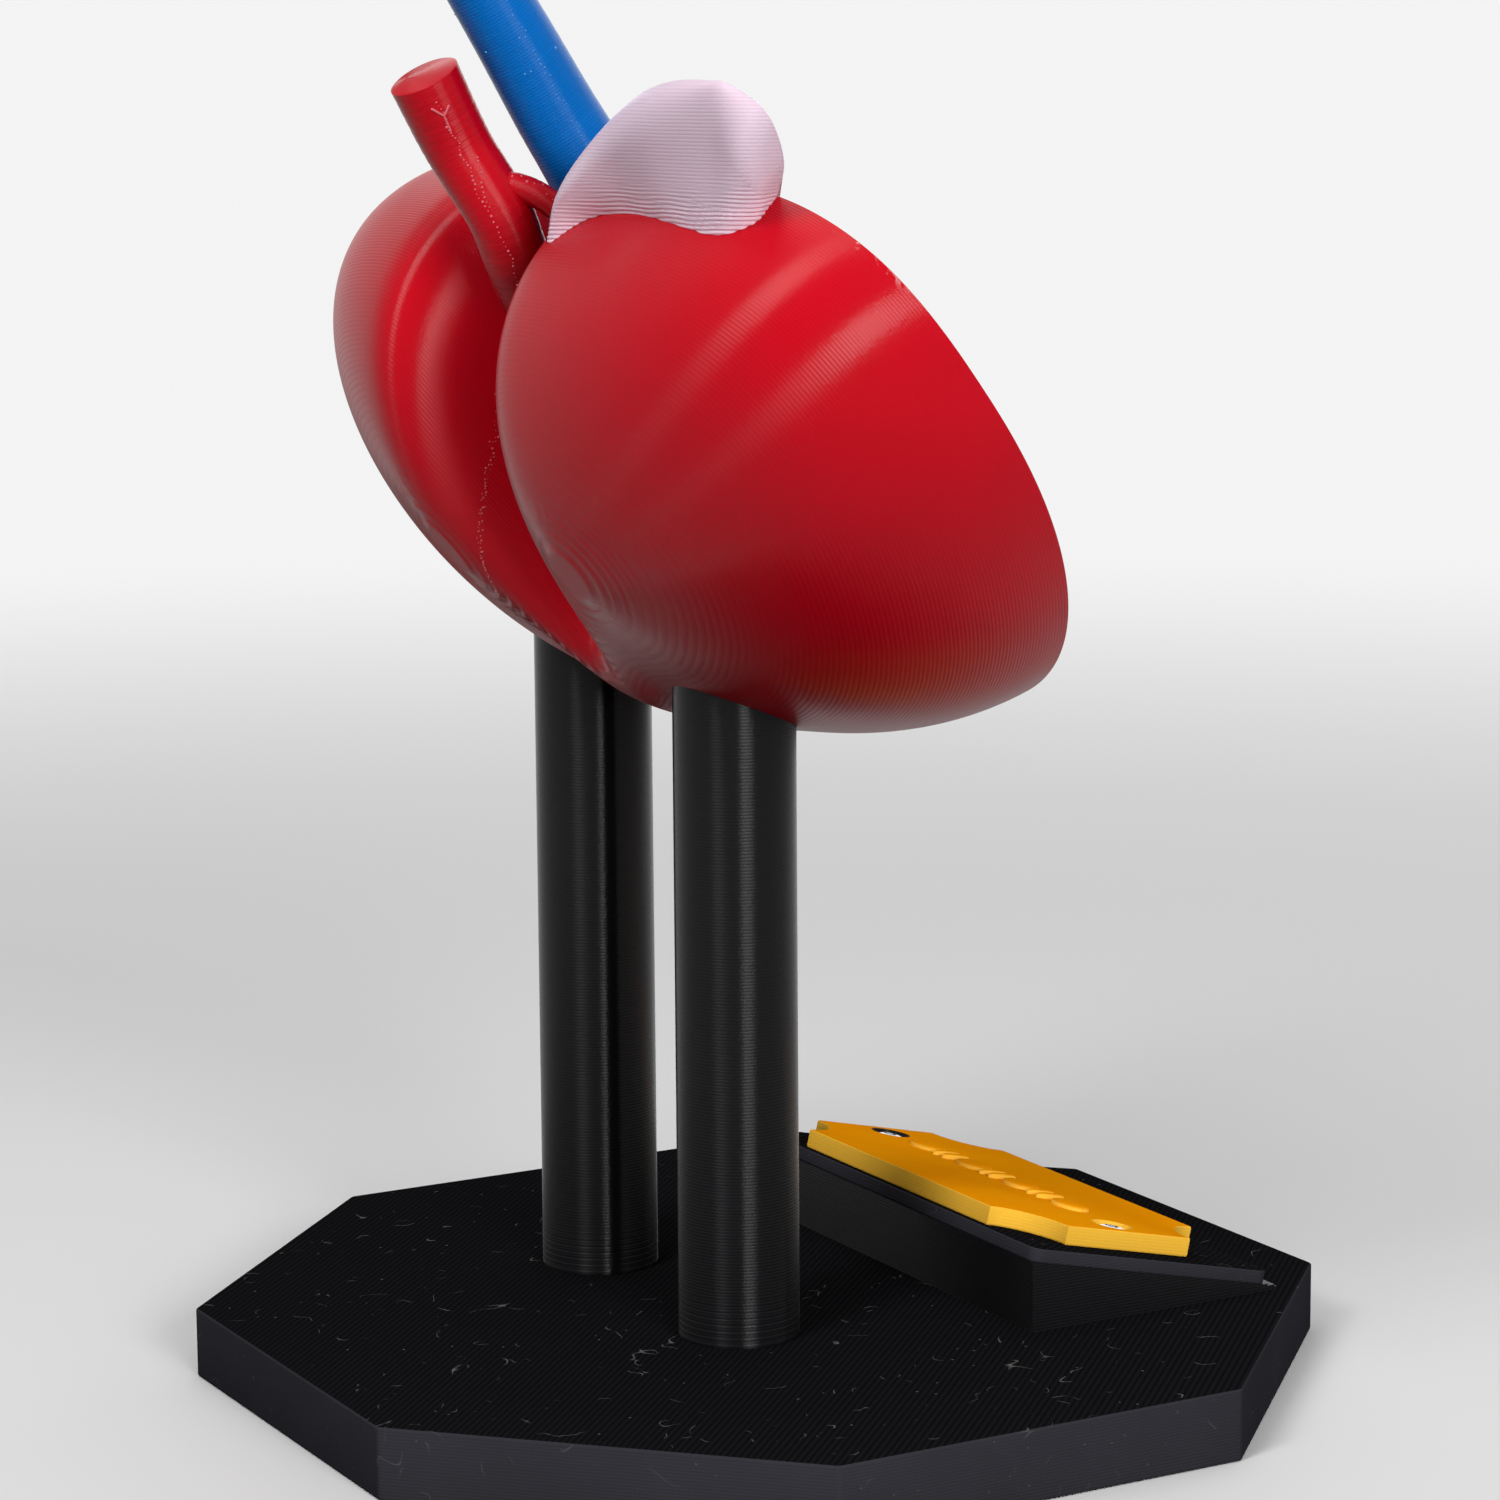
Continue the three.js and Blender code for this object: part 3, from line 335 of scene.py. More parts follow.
# Pale pink flecks mixed in near the rim: painted glints on its chipped edge.
glinting_rim = add_node(tree, "Mix", {0: rim_glints, 6: shade.outputs[2], 7: linear("#E0A8A8")}, data_type="RGBA")
tree.links.new(glinting_rim.outputs[2], surface.inputs["Base Color"])

dome_skin = terraced(dome_grid(DOME_SLICES, DOME_POINTS))
kidney = new_piece("kidney_shell", *skin(from_kidney(dome_skin)), silk_red)


# Vessels: silky tubes printed upright and glued into the cleft. Each follows a smooth path through a
# few points, given as across, above the floor of the cleft, and out of the cut face.
CLEFT_FLOOR = UPPER_HEIGHT - CLEFT_DEPTH
ROOM = 0.3  # gap left round whatever is set into the kidney
ARTERY_PATH = [
    (-4.2, 80.6, -9), (-3.2, 70, -10.3), (-5.9, 60, -12), (-4.4, 54, -12.9),
    (0, 43, -13.3), (0, 25, -13), (0, 6, -13),
]
ARTERY_RADII = [4.8, 4.5, 4.4, 4.4, 4.4, 4.5, 4.6]
BRANCH_PATH = [
    (-5.6, 64, -10.6), (-8.9, 61.6, -8.4), (-11, 57.6, -7),
    (-9.6, 48, -6.4), (-8.4, 37, -7), (-10.6, 27, -8),
]
BRANCH_RADII = [1.9, 1.8, 1.6, 1.5, 1.5, 1.4]
VEIN_PATH = [
    (-11.2, 96, 3), (-8.5, 79, 2.9), (-6.3, 66, 2.6), (-6, 56.4, 2),
    (-2, 39, 1), (-0.4, 28, 0), (0, 18, -0.5),
]
VEIN_RADII = [4.8, 5.2, 5.6, 6, 6, 6]
END_ROUNDING = 0.3
PATH_SAMPLES = 400


def curve_at(points, at):
    """A centripetal Catmull-Rom curve through the points, at whole and broken point numbers."""
    p = np.asarray(points, float)
    p = np.vstack([2 * p[0] - p[1], p, 2 * p[-1] - p[-2]])
    step = np.linalg.norm(np.diff(p, axis=0), axis=1)[:, None] ** 0.5
    k = np.clip(np.floor(at).astype(int), 0, len(points) - 2)
    t = (at - k)[:, None]
    a, b, c, d = p[k], p[k + 1], p[k + 2], p[k + 3]
    u, v, w = step[k], step[k + 1], step[k + 2]
    start = ((b - a) / u - (c - a) / (u + v) + (c - b) / v) * v
    end = ((c - b) / v - (d - b) / (v + w) + (d - c) / w) * v
    return b + start * t + (3 * (c - b) - 2 * start - end) * t ** 2 + (2 * (b - c) + start + end) * t ** 3


def even_path(points, count):
    """The same curve at equal steps of its length."""
    at = np.linspace(0, len(points) - 1, 60 * (len(points) - 1) + 1)
    gone = np.linalg.norm(np.diff(curve_at(points, at), axis=0), axis=1)
    length = np.concatenate([[0], np.cumsum(gone)])
    return curve_at(points, np.interp(np.linspace(0, length[-1], count), length, at))


def on_tube(path, radii, share, angle, grow=0.0):
    """Points on a round skin along a path, by the share of its length and by the angle round it, with
    angle 0 towards the reader. The radius is read off the list from end to end."""
    share, angle = np.broadcast_arrays(share, angle)
    samples = np.linspace(0, 1, PATH_SAMPLES)
    centre = even_path(np.array(path) + [0, CLEFT_FLOOR, 0], len(samples))
    tangent = np.gradient(centre, axis=0)
    tangent /= np.linalg.norm(tangent, axis=1)[:, None]
    outward = np.array([0, 0, 1.0]) - tangent * tangent[:, 2:]
    outward /= np.linalg.norm(outward, axis=1)[:, None]
    tables = (centre, outward, np.cross(tangent, outward), tangent)
    middle, out, side, way = (
        np.stack([np.interp(share, samples, table[:, k]) for k in range(3)], -1) for table in tables)
    radius = (np.interp(share, np.linspace(0, 1, len(radii)), radii) + grow)[..., None]
    beyond = ((share >= 1) * 1.0 - (share <= 0)) * np.maximum(grow, 0)
    ring = out * np.cos(angle)[..., None] + side * np.sin(angle)[..., None]
    return middle + way * np.asarray(beyond)[..., None] + ring * radius


def tube(path, radii, rings, sides, grow=0.0, uneven=0.0):
    """A closed tube whose two rims are turned in a little. An uneven one is printed in rings whose
    radii differ at random by about so much."""
    share = np.linspace(0, 1, rings)[:, None]
    if uneven:
        grow = grow + np.random.default_rng(rings).normal(0, uneven, (rings, 1))
    angle = full_turn(sides)[None, :]
    grid = on_tube(path, radii, share, angle, grow)
    middle = grid.mean(axis=1, keepdims=True)
    first = middle[:1] + (grid[:1] - middle[:1]) * (1 - END_ROUNDING / radii[0])
    last = middle[-1:] + (grid[-1:] - middle[-1:]) * (1 - END_ROUNDING / radii[-1])
    grid[0] += (middle[1] - middle[0]) / np.linalg.norm(middle[1] - middle[0]) * END_ROUNDING * 0.5
    return np.concatenate([first, grid, last])


def settle(piece):
    """Makes what a piece's modifiers show its own mesh."""
    settled = bpy.data.meshes.new_from_object(piece.evaluated_get(bpy.context.evaluated_depsgraph_get()))
    piece.modifiers.clear()
    piece.data = settled


def fuse(piece, other, operation):
    """Joins another closed piece to this one, or cuts it out, and throws the other away."""
    step = piece.modifiers.new("fuse", "BOOLEAN")
    step.operation = operation
    step.solver = "MANIFOLD"
    step.object = other
    settle(piece)
    bpy.data.objects.remove(other)
    return piece


def corners_of(mesh):
    """The corners of a mesh as rows of x, y and z."""
    flat = np.empty(3 * len(mesh.vertices), np.float32)
    mesh.vertices.foreach_get("co", flat)
    return flat.reshape(-1, 3).astype(float)


def bead_row(name, centres, radii, material):
    """Many small beads in one mesh. Each is a ball of twenty faces, scaled to its radius and moved to
    its centre. All in millimetres of the cut face frame."""
    shape = bmesh.new()
    bmesh.ops.create_icosphere(shape, subdivisions=1, radius=1.0)
    ball = bpy.data.meshes.new("ball")
    shape.to_mesh(ball)
    shape.free()
    corners = corners_of(ball)
    sides = np.empty(len(ball.loops), np.int32)
    ball.loops.foreach_get("vertex_index", sides)
    bpy.data.meshes.remove(ball)
    points = centres[:, None, :] + radii[:, None, None] * corners[None]
    faces = sides.reshape(-1, 3)[None] + len(corners) * np.arange(len(centres))[:, None, None]
    return new_piece(name, from_kidney(points.reshape(-1, 3)), faces.reshape(-1, 3).tolist(), material, 80)


def finished(piece, slot, *nodes):
    """Puts a piece on the stand's one body and hides the solids that it stands for. Its finish is not used.
    """
    if nodes:
        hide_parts(*nodes)
    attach(piece, "root")


# Silky red PLA, printed upright: fine rings along the tube, with a soft sheen.
vessel_red, *_ = layered_plastic(
    "silk_pla_vessel_red", "#B00012", "#CC001C", 0.36, (0.05, 0.55, 0.83), 0.02, 0.25)
# Silky blue PLA, printed upright: fine rings and a soft sheen.
vein_blue, *_ = layered_plastic("silk_pla_vein_blue", "#0060AE", "#0076D4", 0.4, (0.08, 0.55, 0.83), 0.03)
# Stretched plastic: beads and hairs that the nozzle left, paler than the print under them, a paleness
# that is partly a painted sparkle.
pale_red, *_ = layered_plastic("stretched_sparkle_pla_red", "#C83A48", "#E89098", 0.3, (0, 0, 1), 0.01, 0.3, 0.0)
pale_blue, *_ = layered_plastic("stretched_sparkle_pla_blue", "#2E78C4", "#7CB4E8", 0.3, (0, 0, 1), 0.01, 0.3, 0.0)

rooms = None
for path, radii in ((ARTERY_PATH, ARTERY_RADII), (BRANCH_PATH, BRANCH_RADII), (VEIN_PATH, VEIN_RADII)):
    room = new_piece("room", *skin(from_kidney(tube(path, radii, 60, 40, ROOM))), silk_red)
    rooms = fuse(rooms, room, "UNION") if rooms else room

artery_skin = from_kidney(tube(ARTERY_PATH, ARTERY_RADII, 300, 72, uneven=0.02))
artery = new_piece("artery_tube", *skin(artery_skin), vessel_red)
branch_skin = from_kidney(tube(BRANCH_PATH, BRANCH_RADII, 120, 32, uneven=0.015))
branch = new_piece("artery_branch", *skin(branch_skin), vessel_red)
fuse(artery, branch, "UNION")
round_off(artery, 50)
finished(artery, "vessel_red", "renal_artery")
vein_skin = from_kidney(tube(VEIN_PATH, VEIN_RADII, 320, 72, uneven=0.006))
vein = new_piece("vein_tube", *skin(vein_skin), vein_blue)
finished(vein, "vein_blue", "renal_vein")

# Beads where each layer of the artery starts: two wavering rows that run together, a loose row on its
# branch, and a forked hair of touching beads.
rng = np.random.default_rng(7)
ARTERY_SEAMS = [  # shares of the length, and angles there
    ([0.03, 0.09, 0.12, 0.154, 0.19, 0.234, 0.261, 0.281, 0.309, 0.345, 0.385],
     [1.97, 1.97, 1.92, 1.99, 1.97, 2.18, 2.24, 2.22, 2.23, 2.22, 2.30]),
    ([0.17, 0.206, 0.234, 0.262], [1.58, 1.74, 1.97, 2.18]),
]
FORKED_HAIR = [  # each stroke's shares of the length from and to, angles from and to, and beads
    (0.038, 0.058, 2.17, 1.95, 9), (0.058, 0.046, 1.95, 1.72, 7), (0.058, 0.09, 1.95, 1.96, 9)]
HAIR_RADIUS = 0.2
ARTERY_STEP, BRANCH_STEP, VEIN_STEP = 0.55 / 76.5, 0.9 / 42, 0.7 / 79  # millimetres over the length
centres, sizes = [], []
for shares, turns in ARTERY_SEAMS:
    share = np.arange(shares[0], shares[-1], ARTERY_STEP)
    turned = np.interp(share, shares, turns) + 0.03 * np.sin(90 * share) + rng.normal(0, 0.018, len(share))
    centres.append(on_tube(ARTERY_PATH, ARTERY_RADII, share, turned))
    sizes.append(rng.uniform(0.07, 0.22, len(share)))
for share_from, share_to, turn_from, turn_to, count in FORKED_HAIR:
    share, turned = np.linspace(share_from, share_to, count), np.linspace(turn_from, turn_to, count)
    centres.append(on_tube(ARTERY_PATH, ARTERY_RADII, share, turned))
    sizes.append(np.full(count, HAIR_RADIUS))
share = np.arange(0.02, 0.5, BRANCH_STEP)
centres.append(on_tube(BRANCH_PATH, BRANCH_RADII, share, 1.3 + rng.normal(0, 0.2, len(share))))
sizes.append(rng.uniform(0.1, 0.24, len(share)))
artery_beads = bead_row("artery_seam_beads", np.concatenate(centres), np.concatenate(sizes), pale_red)
finished(artery_beads, "vessel_red")

# Beads on the vein: one fine row, and a few lone ones on its side.
LONE_BEADS = 14
share = np.arange(0.03, 0.62, VEIN_STEP)
turned = 1.62 + 0.25 * share + rng.normal(0, 0.035, len(share))
centres = on_tube(VEIN_PATH, VEIN_RADII, share, turned)
lone = on_tube(VEIN_PATH, VEIN_RADII, rng.uniform(0.1, 0.55, LONE_BEADS), rng.uniform(0.4, 5.8, LONE_BEADS))
sizes = np.concatenate([rng.uniform(0.04, 0.13, len(share)), rng.uniform(0.12, 0.2, LONE_BEADS)])
vein_beads = bead_row("vein_seam_beads", np.concatenate([centres, lone]), sizes, pale_blue)
finished(vein_beads, "vein_blue")

# Beads on the kidney: the row where its layers start, down the inner flank of the far lobe.
KIDNEY_SEAM = [  # the two numbers of the kidney's skin
    (0.150, 2.74), (0.147, 2.66), (0.140, 2.50), (0.134, 2.364), (0.133, 2.245), (0.136, 2.034),
    (0.147, 1.817), (0.168, 1.613), (0.188, 1.45)]
SEAM_BEADS = 105
seam = even_path([(*pair, 0) for pair in KIDNEY_SEAM], SEAM_BEADS)
along, round_ = seam[:, 0] + rng.normal(0, 0.0012, SEAM_BEADS), seam[:, 1]
sizes = rng.uniform(0.05, 0.19, SEAM_BEADS)
kidney_beads = bead_row("kidney_seam_beads", dome(along, round_), sizes, pale_red)
finished(kidney_beads, "kidney_red")


# Adrenal gland: a pale lilac cap printed on its own and pegged to the rim of the near end. Its ribs
# run from the front edge over a crest to the foot, and are measured from the rim below its middle.
GLAND_X = -45
GLAND_FRONT = [(27, -0.8, 0), (20, 6, 0), (9, 11.6, 0), (-6, 15, 0), (-20, 15.2, 0)]
GLAND_CREST = [(22.2, 1.2, -14.8), (17, 7.2, -13.5), (8.3, 11.8, -8.2), (-4, 14.6, -5), (-19, 15.6, -1.6)]
GLAND_FOOT = [(21.7, -1.3, -15.6), (17, 0.2, -10.6), (7.7, 0.5, -9.1), (-3, 0.1, -9.6), (-10.5, -1.2, -9.9)]
END_FRONT = [(-20, 15.2, 0), (-25, 10.8, 0), (-21.8, 3.6, 0), (-14, -2.4, 0)]
END_CREST = [(-19, 15.6, -1.6), (-22.5, 9.6, -4), (-20.6, 2.6, -4), (-14.2, -2.5, -1)]
END_FOOT = [(-10.5, -1.2, -9.9), (-14, -1.6, -8.7), (-16.2, -2.2, -5.4), (-14.4, -2.6, -2)]
GLAND_RISE, GLAND_ROOT, ROOT_SHARE = 0.6, 9, 0.3
FRONT_ROUNDING, CREST_ROUNDING = 0.75, 0.3
CREST_SOFTENING = 4  # ribs, as a spread of the bell curve that rounds the crest's turn
RIDGE_RISE, RIDGE_TOP, RIDGE_FADE = 0.17, 7.5, 7.0
RIDGE_WANDER, RIDGE_WAVES = 0.1, 0.55
FRONT_RIBS, END_RIBS, EDGE_STEPS, BEND_STEPS, BACK_STEPS = 160, 80, 8, 14, 60
PLUG_GROWTH, PLUG_SHIFT = 1.0008, 0.02  # the kidney's skin cuts what sits on it a hair larger
rim = dome_grid(2001, 2)[:, 1]
GLAND_SEAT = np.array([GLAND_X, np.interp(GLAND_X, rim[:, 0], rim[:, 1]) + GLAND_RISE, 0])


def gland_ribs(front, crest, foot, count):
    """Ribs of the gland: a straight front, a crest rounded by a quadratic curve, and a straight back.
    Both edges draw in below to a root that is sunk in the kidney."""
    at = np.linspace(0, len(front) - 1, count)
    front, crest, foot = (curve_at(np.array(p) + GLAND_SEAT, at)[:, None, :] for p in (front, crest, foot))
    shrink = np.array([ROOT_SHARE, 0, ROOT_SHARE])
    root_front, root_foot = (
        (p - GLAND_SEAT) * shrink + GLAND_SEAT - [0, GLAND_ROOT, 0] for p in (front, foot))
    start = front + (crest - front) * (1 - FRONT_ROUNDING)
    end = crest + (foot - crest) * CREST_ROUNDING
    t = np.linspace(0, 1, BEND_STEPS)[None, :, None]
    bend = start * (1 - t) ** 2 + crest * 2 * t * (1 - t) + end * t ** 2
    t = np.linspace(0, 1, BACK_STEPS, endpoint=False)[None, 1:, None]
    back = end + (foot - end) * t
    t = np.linspace(0, 1, EDGE_STEPS, endpoint=False)[None, :, None]
    rise, face = root_front + (front - root_front) * t, front + (start - front) * t
    sink = foot + (root_foot - foot) * t
    return np.concatenate([rise, face, bend, back, sink], axis=1)


# Lilac PLA with a satin skin: its layers lie level and show as fine wavy lines.
lilac, *_ = layered_plastic("satin_pla_lilac", "#EBD0E2", "#F3DCEC", 0.45, (0.0, 0.0, 1.0), 0.03)

ribs = np.concatenate([
    gland_ribs(GLAND_FRONT, GLAND_CREST, GLAND_FOOT, FRONT_RIBS),
    gland_ribs(END_FRONT, END_CREST, END_FOOT, END_RIBS)[1:]])
taps = np.arange(-3 * CREST_SOFTENING, 3 * CREST_SOFTENING + 1)
weights = np.exp(-0.5 * (taps / CREST_SOFTENING) ** 2)
padded = np.pad(ribs, ((taps[-1], taps[-1]), (0, 0), (0, 0)), mode="edge")
ribs = sum(w * padded[k:k + len(ribs)] for k, w in enumerate(weights / weights.sum()))

# The lower part of its back stands out in small wavering ridges, one to every two layers.
across, around = np.gradient(ribs, axis=(0, 1))
normal = np.cross(around, across)
normal /= np.maximum(np.linalg.norm(normal, axis=-1, keepdims=True), 1e-9)
level = (ribs @ KIDNEY_AXES + KIDNEY_PLACE)[..., 2] + RIDGE_WANDER * np.sin(RIDGE_WAVES * ribs[..., 0])
ridges = np.abs(np.sin(np.pi * level / (2 * LAYER)))
low = smooth_step((RIDGE_TOP - (ribs[..., 1] - GLAND_SEAT[1])) / RIDGE_FADE)
ribs = ribs + normal * (RIDGE_RISE * ridges * low)[..., None] * (ribs[..., 2:] < -0.5)
gland = new_piece("adrenal_cap", *skin(from_kidney(ribs)), lilac)
plug_skin = from_kidney(dome_grid(160, 90) * PLUG_GROWTH + [0, 0, PLUG_SHIFT])
fuse(gland, new_piece("plug", *skin(plug_skin), lilac), "DIFFERENCE")
round_off(gland, 40)
finished(gland, "gland_lilac", "adrenal_gland")


# Pyramids: dark red wedges printed apart and pressed into pockets in the cut face. Each points from
# the cortex to a calyx, is crowned a little, and carries fine ridges that fan out from its tip.
FANS = [  # centre of the fan, radius of its tips, and each pyramid's angle and length
    ((-36, 5), 11, [(98, 37.25), (143, 37.5), (188, 29.75), (233, 29.25), (281, 34.25)]),
    ((27, 5), 11, [(82, 37.0), (37, 25.25), (-8, 21.5), (-53, 22.0), (-101, 33.5)]),
    ((-4, -13), 9, [(270, 25.25)]),
]
PYRAMID_DEPTH, PYRAMID_RISE, PYRAMID_TAPER, TIP_HALF_WIDTH, TIP_HOLLOW = 4.0, 0.9, 0.42, 2.0, 0.8
CORNER_DRAW, CORNER_FROM, CORNER_SPAN = 0.22, 0.8, 0.2
EDGE_DROP, SIDE_POWER, END_POWER = 0.6, 8, 12
RIDGES, RIDGE_HEIGHT, RIDGE_BEND, RIDGE_BENDS = 9, 0.12, 0.6, 9
STREAK_POWER, STREAK_STRENGTH = 3, 0.7


def pyramid_width(reach, tip, grow):
    """Half width at the tip, and at the outer corners, where a quadratic equation gives how far the
    straight sides run until they meet the round base."""
    half = TIP_HALF_WIDTH + grow * np.hypot(1, PYRAMID_TAPER)
    a, b, c = 1 + PYRAMID_TAPER ** 2, tip + PYRAMID_TAPER * half, tip ** 2 + half ** 2 - (reach + grow) ** 2
    side = (np.sqrt(b * b - a * c) - b) / a
    return half, half + PYRAMID_TAPER * side


def pyramid_plan(reach, tip, grow, along, across):
    """Plan of a pyramid: along runs 0 to 1 from its hollow tip to its round base, across runs -1 to 1
    between its sides, which draw in at the base to round its corners."""
    half, wide = pyramid_width(reach, tip, grow)
    corner = 1 - CORNER_DRAW * smooth_step((along - CORNER_FROM) / CORNER_SPAN) ** 2
    y = across * (half + (wide - half) * along) * corner
    near = tip - TIP_HOLLOW * half * (1 - across ** 2)
    far = np.sqrt(np.maximum((reach + grow) ** 2 - y ** 2, 0))
    return near + (far - near) * along, y


# Matt dark red PLA for the medulla, streaked along its ridges.
medulla, tree, surface, shade, coords = layered_plastic(
    "pla_medulla_red", "#6E0A18", "#86141F", 0.42, FACE_NORMAL, 0.02, 0.3, 0.0)
streak = add_node(tree, "Attribute", attribute_name="streak")
streaked = add_node(tree, "Mix", {
    0: streak.outputs["Fac"], 6: shade.outputs[2], 7: linear("#A83038")}, data_type="RGBA")
tree.links.new(streaked.outputs[2], surface.inputs["Base Color"])

number = 0
for centre, tip, members in FANS:
    for degrees, reach in members:
        number += 1
        along, across = np.linspace(0, 1, 60)[:, None], np.linspace(-1, 1, 91)[None, :]
        x, y = pyramid_plan(reach, tip, 0.0, along, across)
        crown = (1 - np.abs(across) ** SIDE_POWER) ** 0.5 * (1 - (2 * along - 1) ** END_POWER) ** 0.5
        ridge = np.cos(np.pi * RIDGES * across + RIDGE_BEND * np.sin(RIDGE_BENDS * along)) * 0.5 + 0.5
        z = (PYRAMID_RISE + EDGE_DROP) * crown - EDGE_DROP + RIDGE_HEIGHT * ridge * crown
        top = np.stack(np.broadcast_arrays(x, y, z), -1)
        under = top[:, ::-1].copy()
        under[..., 2] = -PYRAMID_DEPTH
        rings = np.concatenate([top, under], axis=1)
        angle = np.radians(degrees)
        spin = np.array([[np.cos(angle), np.sin(angle), 0], [-np.sin(angle), np.cos(angle), 0], [0, 0, 1]])
        place = from_kidney(rings @ spin + [*centre, 0])
        pyramid = new_piece(f"medulla_pyramid_{number}", *skin(place), medulla, 60)
        local = (corners_of(pyramid.data) / MM - KIDNEY_PLACE) @ KIDNEY_AXES.T - [*centre, 0]
        local = local @ spin.T
        half, wide = pyramid_width(reach, tip, 0.0)
        spread = local[:, 1] / (half + (wide - half) * np.clip((local[:, 0] - tip) / (reach - tip), 0, 1))
        value = (np.cos(np.pi * RIDGES * spread) * 0.5 + 0.5) ** STREAK_POWER * STREAK_STRENGTH
        streaks = pyramid.data.attributes.new("streak", "FLOAT", "POINT")
        streaks.data.foreach_set("value", value.astype(np.float32))
        finished(pyramid, "medulla_red", f"pyramid_{number}")
        edges = [  # of its pocket: along one side, round the base, along the other side, round the tip
            (np.linspace(0, 1, 24), 1.0), (1.0, np.linspace(1, -1, 24)),
            (np.linspace(1, 0, 24), -1.0), (0.0, np.linspace(-1, 1, 12))]
        outline = np.concatenate([
            np.stack(pyramid_plan(reach, tip, ROOM, along, across), 1)[:-1] for along, across in edges])
        walls = np.stack([
            np.column_stack([outline, np.full(len(outline), h)]) for h in (-PYRAMID_DEPTH - ROOM, 1.0)])
        pocket = new_piece("room", *skin(from_kidney(walls @ spin + [*centre, 0])), silk_red)
        fuse(rooms, pocket, "UNION")


# Pelvis: the cream funnel under the vein that branches into a calyx for each pyramid. It is printed
# in one piece and pressed into its groove: round limbs joined, then softened where they meet.
PELVIS_RADIUS, PELVIS_SINK, MAJOR_RADIUS, CALYX_RADIUS, MOUTH_RADIUS = 4.6, 1.2, 3.3, 1.8, 2.2
PELVIS_TOP, MOUTH_GAP = 18, 2
PELVIS_GRAIN, PELVIS_SOFTENING = 0.35, 8
TRUNK_TOP = (0, CLEFT_FLOOR + PELVIS_TOP - ROOM - PELVIS_RADIUS)


def limb(start, end, first, last):
    """A round limb lying in the cut face: radius runs evenly from first to last, with half a ball on
    each end."""
    start, end = np.array([*start, -PELVIS_SINK]), np.array([*end, -PELVIS_SINK])
    length = np.linalg.norm(end - start)
    way = (end - start) / length
    side = np.array([-way[1], way[0], 0])
    bend = np.linspace(0, np.pi / 2, 7)
    reach = np.concatenate([-first * np.cos(bend), length + last * np.sin(bend)])
    radius = np.concatenate([first * np.sin(bend), last * np.cos(bend)])
    angle = full_turn(24)
    ring = side * np.cos(angle)[:, None] + np.array([0, 0, 1.0]) * np.sin(angle)[:, None]
    return start + way * reach[:, None, None] + ring[None] * radius[:, None, None]


hub = FANS[2][0]
limbs = [(TRUNK_TOP, hub, PELVIS_RADIUS, PELVIS_RADIUS)]
for centre, tip, members in FANS:
    if centre != hub:
        limbs.append((hub, centre, PELVIS_RADIUS, MAJOR_RADIUS))
    for degrees, _ in members:
        angle, mouth = np.radians(degrees), tip - MOUTH_GAP - MOUTH_RADIUS - ROOM
        end = (centre[0] + mouth * np.cos(angle), centre[1] + mouth * np.sin(angle))
        limbs.append((centre, end, CALYX_RADIUS, MOUTH_RADIUS))

# Satin cream PLA, whose layers lie along the cut face.
cream, *_ = layered_plastic("satin_pla_cream", "#DDBA66", "#E8CB80", 0.4, FACE_NORMAL, 0.02, 0.3, 0.0)
pelvis = None
for start, end, first, last in limbs:
    part = new_piece("part", *skin(from_kidney(limb(start, end, first, last))), cream)
    pelvis = fuse(pelvis, part, "UNION") if pelvis else part
    room = new_piece("room", *skin(from_kidney(limb(start, end, first + ROOM, last + ROOM))), silk_red)
    fuse(rooms, room, "UNION")
pelvis.name = "pelvis_funnel"
evened = pelvis.modifiers.new("even", "REMESH")
evened.mode = "VOXEL"
evened.voxel_size = PELVIS_GRAIN * MM
softened = pelvis.modifiers.new("soften", "SMOOTH")
softened.iterations = PELVIS_SOFTENING
settle(pelvis)
pelvis.data.materials.clear()
pelvis.data.materials.append(cream)
round_off(pelvis, 80)
finished(pelvis, "pelvis_cream", "renal_pelvis")

# All the rooms and pockets are cut out of the kidney at once.
fuse(kidney, rooms, "DIFFERENCE")
round_off(kidney, 32)
finished(kidney, "kidney_red", "kidney_body")


# Base: an octagonal slab printed flat in black. Its top shows the diagonal paths of the last layer,
# and it has gathered lint and dust.
BASE_ACROSS, BASE_THICK, BASE_CORNER, BASE_EDGE = 150.0, 10.0, 0.5, 0.35
PATH_SPACING, DIAGONAL = 0.893 * MM, (2 ** -0.5, 2 ** -0.5, 0)  # of the last layer's printed paths
EDGE_POINTS = 4
RELIEF_STRENGTH = 0.6


def rounded_corners(corners, radius, steps):
    """A closed outline whose corners, taken anticlockwise, are replaced by short curves."""
    before, after = np.roll(corners, 1, axis=0), np.roll(corners, -1, axis=0)
    back = (before - corners) / np.linalg.norm(before - corners, axis=1)[:, None]
    ahead = (after - corners) / np.linalg.norm(after - corners, axis=1)[:, None]
    t = np.linspace(0, 1, steps)[None, :, None]
    start, end = (corners + back * radius)[:, None], (corners + ahead * radius)[:, None]
    corner = corners[:, None]
    return (start * (1 - t) ** 2 + corner * 2 * t * (1 - t) + end * t ** 2).reshape(-1, 2)


